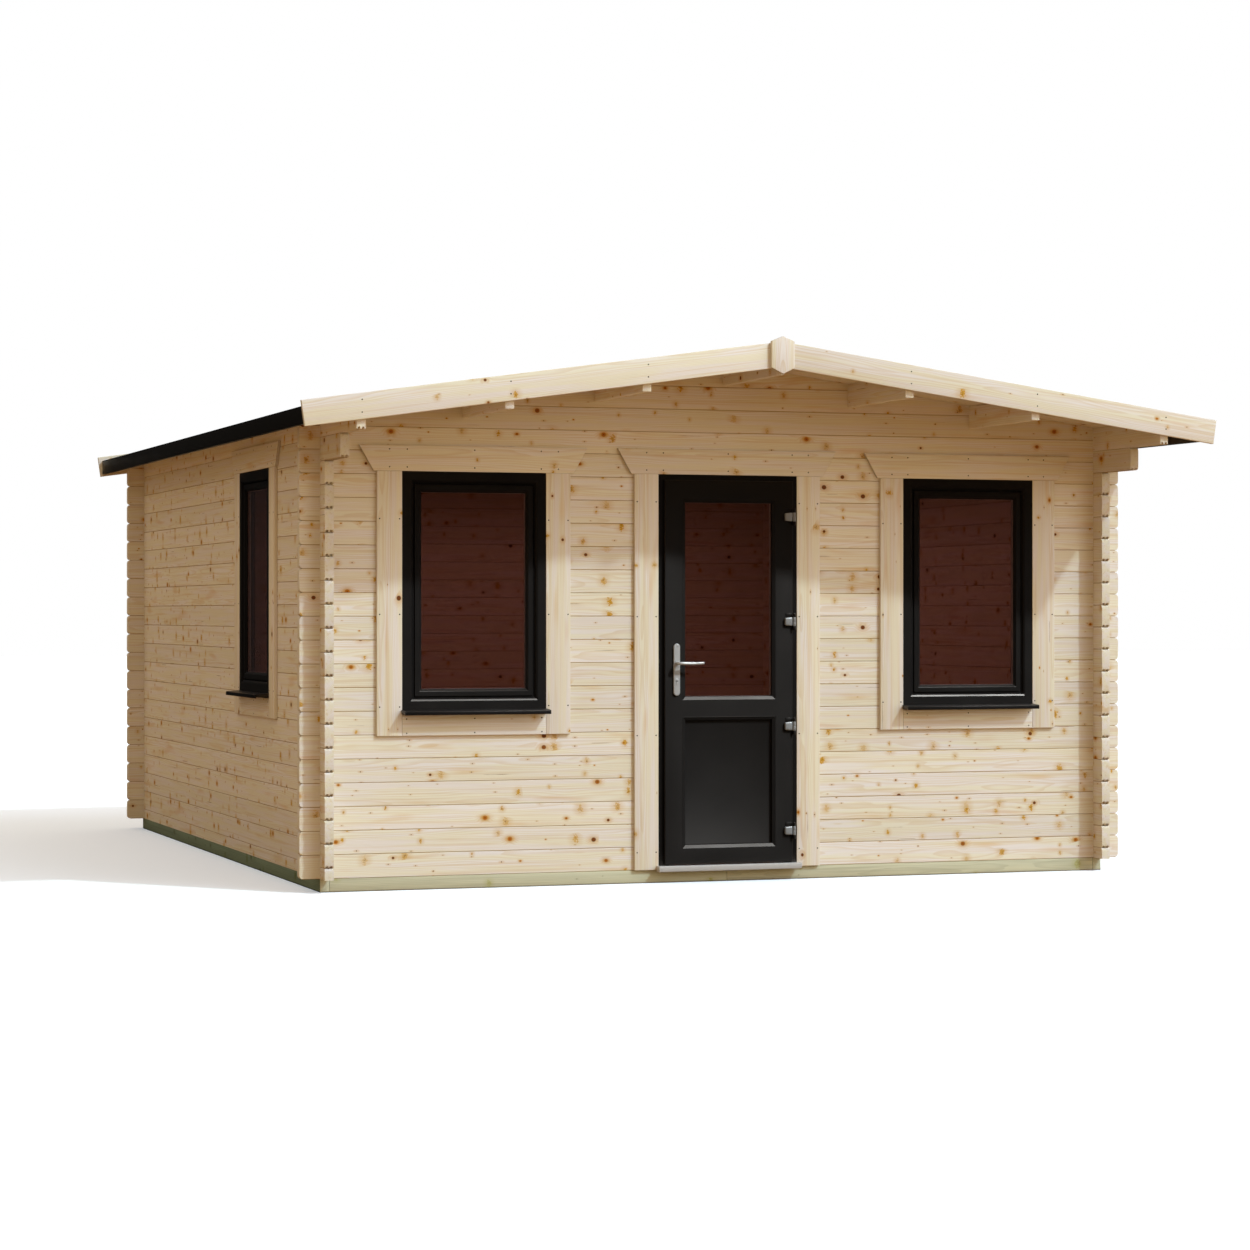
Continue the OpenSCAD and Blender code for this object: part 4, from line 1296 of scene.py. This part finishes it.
class DoorLeaf(bpy.types.Operator):
    """Half-glazed door leaf with mitred beads, double glazing and a lower panel"""

    bl_idname = "cabin.door_leaf"
    bl_label = "Door Leaf"

    def execute(self, context):
        joinery = context.scene.cabin_joinery
        made = palette()
        low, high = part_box("door_leaf_front")
        lap = cad_copy("door_leaf_front", "lap")
        shape(lap, "EDGE", lambda e: e.calc_length() > 0.3 and all(
            v.co.y < low.y + MM and (abs(v.co.x) > high.x - MM or v.co.z < low.z + MM
                                     or v.co.z > high.z - MM) for v in e.verts))
        bpy.ops.mesh.bevel(offset=4 * MM, segments=4, affect="EDGES")
        done()
        body_low, body_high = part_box("door_leaf")
        body = cad_copy("door_leaf", "body")
        shape(body, "EDGE", lambda e: e.calc_length() > 0.3 and all(
            v.co.y > body_high.y - MM and (abs(v.co.x) > body_high.x - MM
                                           or v.co.z > body_high.z - MM) for v in e.verts))
        bpy.ops.mesh.bevel(offset=2 * MM, segments=2, affect="EDGES")
        done()

        beads = []
        bead = joinery.door_bead / MM
        for node in ("door_glass", "door_panel"):
            pane_low, pane_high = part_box(node)
            deep = (pane_low.y - low.y) / MM - 0.6
            beads.append(moulding((pane_low.x, low.y, pane_low.z),
                                  (pane_high.x, pane_low.y - 0.2 * MM, pane_high.z),
                                  [(1, 0.8), (bead - 1, -7.4), (0, 6.6 - deep)], [(bead, 0)]))
            deep = (body_high.y - pane_high.y) / MM - 1
            beads.append(moulding((pane_low.x, pane_high.y + 0.2 * MM, pane_low.z),
                                  (pane_high.x, body_high.y, pane_high.z),
                                  [(bead, 0)], [(2, 0), (bead - 2, -deep)]))
        leaf = joined([lap, body] + beads, "door_leaf_profile")
        shade_by_angle(leaf, 30)
        finished(leaf, "door", "black_upvc", ["door_leaf", "door_leaf_front"], made["leaf"])

        # A narrow seal where the bead meets the glass
        pane_low, pane_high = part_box("door_glass")
        ring = (bead - 0.5) * MM
        seals = []
        for start, end, front, back in (
                (pane_low.y - 1.4 * MM, pane_low.y, [(0.8, 0.6), (2, -1.4)], [(2.8, 0)]),
                (pane_high.y, pane_high.y + 1.4 * MM, [(2.8, 0)], [(0.8, 0.6), (2, -1.4)])):
            seals.append(moulding((pane_low.x + ring, start, pane_low.z + ring),
                                  (pane_high.x - ring, end, pane_high.z - ring), front, back))
        seals = joined(seals, "door_glass_seals")
        finished(seals, "door", "black_upvc", (), made["gasket"])

        sheets = []
        for start in (pane_low.y, pane_high.y - joinery.glass_sheet):
            sheets.append(round_edges(block((pane_low.x, start, pane_low.z),
                          (pane_high.x, start + joinery.glass_sheet, pane_high.z)), 0.6 * MM, 1))
        finished(joined(sheets, "door_glass_unit"), "door", "tinted_glass", ["door_glass"],
                 made["glass"])
        ring = (bead + 0.5) * MM
        bar = moulding((pane_low.x + ring, pane_low.y + joinery.glass_sheet + 0.1 * MM,
                        pane_low.z + ring),
                       (pane_high.x - ring, pane_high.y - joinery.glass_sheet - 0.1 * MM,
                        pane_high.z - ring), [(3, 0)], [(3, 0)], "door_spacer_bar")
        finished(bar, "door", "black_upvc", (), made["spacer"])

        pane_low, pane_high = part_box("door_panel")
        panel = block(pane_low, pane_high, "door_panel_infill")
        for direction in (-Y, Y):
            shape(panel, "FACE", facing(direction))
            bpy.ops.mesh.inset(thickness=(bead + 3) * MM, depth=0)
            bpy.ops.mesh.inset(thickness=2.5 * MM, depth=-1.2 * MM)
            done()
        shade_by_angle(panel, 30)
        finished(panel, "door", "black_upvc", ["door_panel"], made["leaf"])

        # Lock faceplate in the leaf's edge
        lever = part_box("lever_handle")
        lever_z = (lever[0].z + lever[1].z) / 2
        middle = (body_low.y + body_high.y) / 2 + 2 * MM
        plate = round_edges(block((body_low.x - 1.5 * MM, middle - 10 * MM, lever_z - 160 * MM),
                                  (body_low.x + MM, middle + 10 * MM, lever_z + 80 * MM)),
                            0.6 * MM, 1)
        latch = round_edges(block((body_low.x - 3.2 * MM, middle - 5 * MM, lever_z - 12 * MM),
                                  (body_low.x, middle + 5 * MM, lever_z + 12 * MM)), 1 * MM, 2)
        finished(joined([plate, latch], "lock_faceplate"), "door", "satin_steel", (),
                 made["steel"])
        return {"FINISHED"}


class Hinges(bpy.types.Operator):
    """Four hinges: a rounded body on the leaf, a barrel on an arm from the frame, black caps"""

    bl_idname = "cabin.hinges"
    bl_label = "Hinges"

    def execute(self, context):
        metal = context.scene.cabin_metal
        made = palette()
        axis = Vector(JOINTS["door_swing"]["pos_m"])
        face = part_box("door_leaf_front")[0].y
        frame_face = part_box("door_frame")[0].y
        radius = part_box("leaf_hinges")[1].x - axis.x
        # The lowest hinge is modelled; the others are copies, each higher by so much
        frame_halves, leaf_halves = solids("frame_hinges", 2), solids("leaf_hinges", 2)
        low, high = frame_halves[0][0], leaf_halves[0][1]
        rises = [half[0].z - low.z for half in frame_halves[1:]]
        middle = (low.z + high.z) / 2
        bright = metal.hinge_body / 2
        # On the leaf: the cover beside the barrel, the upper barrel and its cap
        cover = block((axis.x - 50 * MM, face - 15 * MM, middle - bright),
                      (axis.x - radius - 1.6 * MM, face, middle + bright))
        shape(cover, "FACE", facing(-X))
        bpy.ops.transform.resize(value=(1, 1, 0.86), center_override=(0, 0, middle))
        done()
        round_edges(cover, 6 * MM, 5)
        bridge = block((axis.x - radius - 4 * MM, axis.y + 1 * MM, middle + 0.6 * MM),
                       (axis.x, face, middle + bright))
        round_edges(bridge, 1.5 * MM, 2)
        barrel = self.barrel(axis, middle + 0.3 * MM, middle + bright, radius)
        cap = self.barrel(axis, middle + bright, high.z, radius - 0.4 * MM, 1)
        back = block((axis.x - 42 * MM, face - 3 * MM, middle + bright - 2 * MM),
                     (axis.x - radius - 2 * MM, face, high.z))
        round_edges(back, 1.2 * MM, 2)
        moving = [(cover, 0), (bridge, 0), (barrel, 0), (cap, 1), (back, 1)]
        # On the frame: the arm, the lower barrel and its cap
        arm = block((axis.x, axis.y, low.z + 3 * MM),
                    (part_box("frame_hinges")[1].x, frame_face, middle - 0.4 * MM))
        round_edges(arm, 2 * MM, 3)
        barrel = self.barrel(axis, middle - bright, middle - 0.3 * MM, radius)
        cap = self.barrel(axis, low.z, middle - bright, radius - 0.4 * MM, -1)
        fixed = [(arm, 1), (barrel, 0), (cap, 1)]
        for pieces, name, body, node in ((moving, "hinges_on_leaf", "door", "leaf_hinges"),
                                         (fixed, "hinges_on_frame", "cabin", "frame_hinges")):
            for piece, slot in pieces:
                piece.data.materials.append(made["hinge"])
                piece.data.materials.append(made["profile"])
                for polygon in piece.data.polygons:
                    polygon.material_index = slot
            hinge = joined([piece for piece, _ in pieces], name)
            copies = [duplicate(hinge, "hinge", (0, 0, rise)) for rise in rises]
            finished(joined([hinge, *copies], name), body, "hinge_metal", [node])
        return {"FINISHED"}

    def barrel(self, axis, low, high, radius, cap=0):
        """A round barrel with softened ends; a cap has one domed end, up or down."""
        piece = rod((axis.x, axis.y, low), (axis.x, axis.y, high), radius, 32)
        for up in (1, -1):
            domed = cap == up
            shape(piece, "FACE", facing(Z * up))
            bpy.ops.mesh.bevel(offset=(4 if domed else 0.7) * MM, segments=4 if domed else 2,
                               affect="EDGES")
            done()
        return shade_by_angle(piece, 40)


class Handle(bpy.types.Operator):
    """Handle plates with screws and a lock cylinder, and the levers on both sides"""

    bl_idname = "cabin.handle"
    bl_label = "Handle"

    def execute(self, context):
        made = palette()
        axis = Vector(JOINTS["handle_turn"]["pos_m"])
        low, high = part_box("handle_plates")
        lever_low, lever_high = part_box("lever_handle")
        metal = context.scene.cabin_metal
        # The outer side is modelled; the inner side is its mirror image through the leaf's middle
        edge = low.y
        inner = edge + metal.plate
        plate = oblong(axis.x, low.z, high.z, (high.x - low.x) / 2, inner, edge)
        soften(plate, -Y, 2.4 * MM, 4)
        carve(plate, [rod((axis.x, inner + 5 * MM, axis.z), (axis.x, edge - 5 * MM, axis.z),
                          metal.spindle + 0.6 * MM, 32)])
        plates = [plate]
        # Screws sit in round countersinks, the lock cylinder below the lever
        for z in (high.z - 17 * MM, low.z + 17 * MM):
            carve(plate, [rod((axis.x, edge + 1.2 * MM, z), (axis.x, edge - 4 * MM, z), 5 * MM,
                              24)])
        head_z = high.z - 17 * MM
        head = rod((axis.x, edge + 4 * MM, head_z), (axis.x, edge + 0.5 * MM, head_z), 4.4 * MM,
                   24)
        soften(head, -Y, 0.8 * MM, 2)
        carve(head, [block((axis.x + a * MM, edge, head_z + b * MM),
                           (axis.x - a * MM, edge + 1.6 * MM, head_z - b * MM))
                     for a, b in ((-2.8, -0.5), (-0.5, -2.8))])
        shade_by_angle(head, 35)
        plates += [head, duplicate(head, "screw", (0, 0, low.z + 17 * MM - head_z))]
        shade_by_angle(plate, 35)
        lock = axis.z - 92 * MM
        round_part = rod((axis.x, edge + 4 * MM, lock + 8 * MM),
                         (axis.x, edge - 0.9 * MM, lock + 8 * MM), 8.5 * MM, 32)
        foot = oblong(axis.x, lock - 17 * MM, lock + 6 * MM, 5 * MM, edge + 4 * MM,
                      edge - 0.9 * MM)
        for part in (round_part, foot):
            soften(part, -Y, 0.6 * MM, 2)
            plates.append(shade_by_angle(part, 35))
        # The keyway is not cut: a thin black sheet on the cylinder's face stands for its dark slot,
        # a painted shade
        keyway_shade_sheet = block((axis.x - 0.8 * MM, edge - 1.1 * MM, lock + 3 * MM),
                        (axis.x + 0.8 * MM, edge, lock + 13 * MM))
        round_edges(keyway_shade_sheet, 0.2 * MM, 1)

        # Lever: a round neck that turns to the side in a slight S
        radius, start, far = metal.lever, edge - 1 * MM, lever_high.x
        bar = lever_low.y + radius
        points = [((axis.x, start, axis.z), 1.0), ((axis.x, bar + 14 * MM, axis.z), 1.0),
                  ((axis.x + 3 * MM, bar + 3.5 * MM, axis.z), 1.0),
                  ((axis.x + 13 * MM, bar, axis.z), 1.0),
                  ((axis.x + 45 * MM, bar, axis.z - 0.8 * MM), 0.98),
                  ((axis.x + 80 * MM, bar + 2 * MM, axis.z - 1.2 * MM), 0.94),
                  ((axis.x + 108 * MM, bar + 1 * MM, axis.z), 0.9),
                  ((far - 3 * MM, bar + 5 * MM, axis.z + 1.0 * MM), 0.84),
                  ((far - 0.6 * MM, bar + 7 * MM, axis.z + 1.0 * MM), 0.55)]
        lever = swept(points, radius, "lever")
        collar = rod((axis.x, start, axis.z), (axis.x, start - 6 * MM, axis.z),
                     radius + 1.5 * MM, 40)
        soften(collar, -Y, 1.2 * MM, 3)
        shade_by_angle(collar, 35)
        spindle = rod((axis.x, lever_low.y + 20 * MM, axis.z),
                      (axis.x, lever_high.y - 20 * MM, axis.z), metal.spindle, 32)
        shade_by_angle(spindle, 40)

        middle = (low.y + high.y) / 2
        for pieces, shared, name, body, slot, nodes, material in (
                (plates, [], "handle_plates_steel", "door", "satin_steel", ["handle_plates"],
                 "steel"),
                ([keyway_shade_sheet], [], "keyway_shade_sheets", "door", "hinge_metal", [], "gasket"),
                ([lever, collar], [spindle], "lever_handles", "handle", "satin_steel",
                 ["lever_handle"], "steel")):
            outer = joined(pieces, name)
            both = [outer, mirrored(outer, "inner", 1, middle)]
            finished(joined(both + shared, name), body, slot, nodes, made[material])
        return {"FINISHED"}


# The broad light in front: its direction, and the strength of its low and its high part
FRONT_RIGHT = (0.743, -0.669, 0.0)
LOW_STRENGTH, HIGH_STRENGTH = 2.14, 3.0
COS_40, COS_10 = 0.766, 0.985


class Stage(bpy.types.Operator):
    """Pale floor, white surroundings, lamps and camera"""

    bl_idname = "cabin.stage"
    bl_label = "Stage"

    def execute(self, context):
        settings = context.scene.cabin_stage
        scene = context.scene
        camera = bpy.data.objects.new("camera", bpy.data.cameras.new("camera"))
        scene.collection.objects.link(camera)
        camera.location = settings.camera_place
        camera.rotation_euler = (math.radians(90), 0, settings.turn)
        camera.data.lens = settings.lens
        camera.data.sensor_width = 36
        camera.data.shift_y = settings.shift
        camera.data.clip_end = 200
        scene.camera = camera

        # The key lamp, and a second in the same place that only reflections show
        for name, strength in (("key_lamp", settings.key), ("gleam_lamp", settings.gleam)):
            lamp = bpy.data.objects.new(name, bpy.data.lights.new(name, "SUN"))
            scene.collection.objects.link(lamp)
            lamp.data.energy = strength
            lamp.data.angle = math.radians(2.5)
            lamp.data.color = settings.key_tint if name == "key_lamp" else (1, 1, 1)
            lamp.rotation_euler = (math.radians(90) - settings.sun_height, 0, settings.sun_side)
            lamp.visible_diffuse = name == "key_lamp"

        # A soft lamp under the ridge, unseen itself, so that the room shows through the glass
        room = bpy.data.objects.new("room_lamp", bpy.data.lights.new("room_lamp", "AREA"))
        scene.collection.objects.link(room)
        low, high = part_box("floor_boards")
        room.data.shape = "RECTANGLE"
        room.data.size = (high.x - low.x) * 0.8
        room.data.size_y = (high.y - low.y) * 0.8
        room.data.energy = settings.room
        room.data.color = settings.room_tint
        room.location = ((low.x + high.x) / 2, (low.y + high.y) / 2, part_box("left_wall")[1].z)
        room.visible_camera = room.visible_glossy = False

        world = bpy.data.worlds.new("studio")
        scene.world = world
        world.use_nodes = True
        tree = world.node_tree
        node = functools.partial(add_node, tree)
        path = node("LightPath")
        seen = node("Math", [path.outputs["Is Camera Ray"], path.outputs["Is Transmission Ray"]],
                    operation="MAXIMUM")
        white = node("Background", {"Color": (1, 1, 1, 1), "Strength": 1.0})
        # Reflections show dim surroundings under a bright ceiling of light
        direction = node("TexCoord").outputs["Generated"]
        rise = node("SeparateXYZ", [direction]).outputs["Z"]
        above = node("MapRange", [rise, 0.5, 0.95, settings.around, settings.above], **SMOOTH)
        ceiling = node("Background", {"Color": (1, 1, 1, 1), "Strength": above})
        # Soft light: warm and low near the horizon, whiter and stronger overhead
        sky = node("Mix", {0: node("MapRange", [rise, 0.0, 0.8], **SMOOTH),
                           6: (*settings.horizon, 1), 7: (*settings.zenith, 1)}, **COLOUR)
        # A broad light stands in front on the right, full within 10 degrees of its direction and
        # gone beyond 40: warm and strong where it is low, cooler above
        level = node("VectorMath", [direction, (1, 1, 0)], **MULTIPLY)
        level = node("VectorMath", [level], operation="NORMALIZE")
        ahead = node("VectorMath", [level, FRONT_RIGHT], operation="DOT_PRODUCT").outputs["Value"]
        ahead = node("MapRange", [ahead, COS_40, COS_10, 0.0, settings.front], **SMOOTH)
        band = node("MapRange", [rise, 0.75, 0.95, ahead, 0.0], **SMOOTH)
        tone = node("Mix", {0: node("MapRange", [rise, 0.2, 0.45], **SMOOTH),
                            6: (*(c * LOW_STRENGTH for c in settings.front_low), 1),
                            7: (*(c * HIGH_STRENGTH for c in settings.front_high), 1)}, **COLOUR)
        lit = node("Mix", {0: band, 6: sky, 7: tone}, blend_type="ADD", clamp_factor=False,
                   **COLOUR)
        soft = node("Background", {"Color": lit, "Strength": settings.fill})
        both = node("MixShader", [path.outputs["Is Glossy Ray"], soft, ceiling])
        both = node("MixShader", [seen, both, white])
        tree.links.new(both.outputs[0], tree.nodes["World Output"].inputs["Surface"])

        # The floor is seen white with the cabin's shadow, and throws back the warm light of ground
        deselect()
        bpy.ops.mesh.primitive_plane_add(size=160, location=(0, 0, 0))
        floor = named(bpy.context.object, "floor")
        material, tree, shader = new_material("white_floor")
        tree.nodes.remove(shader)
        node = functools.partial(add_node, tree)
        path = node("LightPath")
        thrown = node("BsdfDiffuse", {"Color": (*settings.ground, 1)})
        shown = node("AddShader", [
            node("BsdfDiffuse", {"Color": (*settings.floor, 1)}),
            node("Emission", {"Color": (*settings.floor_lift, 1), "Strength": 1.0})])
        dim = node("Emission", {"Color": (1, 1, 1, 1), "Strength": settings.around})
        both = node("MixShader", [path.outputs["Is Glossy Ray"], thrown, dim])
        both = node("MixShader", [path.outputs["Is Camera Ray"], both, shown])
        tree.links.new(both.outputs[0], tree.nodes["Material Output"].inputs["Surface"])
        floor.data.materials.append(material)

        scene.view_settings.view_transform = "Standard"
        return {"FINISHED"}


class CabinPanel(bpy.types.Panel):
    """Lists the cabin's pieces"""

    bl_idname = "VIEW3D_PT_log_cabin"
    bl_label = "Log Cabin"
    bl_space_type = "VIEW_3D"
    bl_region_type = "UI"
    bl_category = "Log Cabin"

    def draw(self, context):
        for operator in OPERATORS:
            self.layout.operator(operator.bl_idname)


OPERATORS = (BaseTimbers, FloorBoards, LogWalls, RoofTimbers, RoofBoards, BargeBoards, TrimBoards,
             Windows, DoorFrame, DoorLeaf, Hinges, Handle, Stage)
GROUPS = {"cabin_timber": CabinTimber, "cabin_joinery": CabinJoinery, "cabin_metal": CabinMetal,
          "cabin_stage": CabinStage}


def register():
    for group in GROUPS.values():
        bpy.utils.register_class(group)
    for name, group in GROUPS.items():
        setattr(bpy.types.Scene, name, PointerProperty(type=group))
    for kind in (*OPERATORS, CabinPanel):
        bpy.utils.register_class(kind)


def unregister():
    for kind in (CabinPanel, *reversed(OPERATORS)):
        bpy.utils.unregister_class(kind)
    for name, group in GROUPS.items():
        delattr(bpy.types.Scene, name)
        bpy.utils.unregister_class(group)


def main():
    register()
    for operator in OPERATORS:
        group, name = operator.bl_idname.split(".")
        getattr(getattr(bpy.ops, group), name)()


if __name__ == "__main__":
    main()
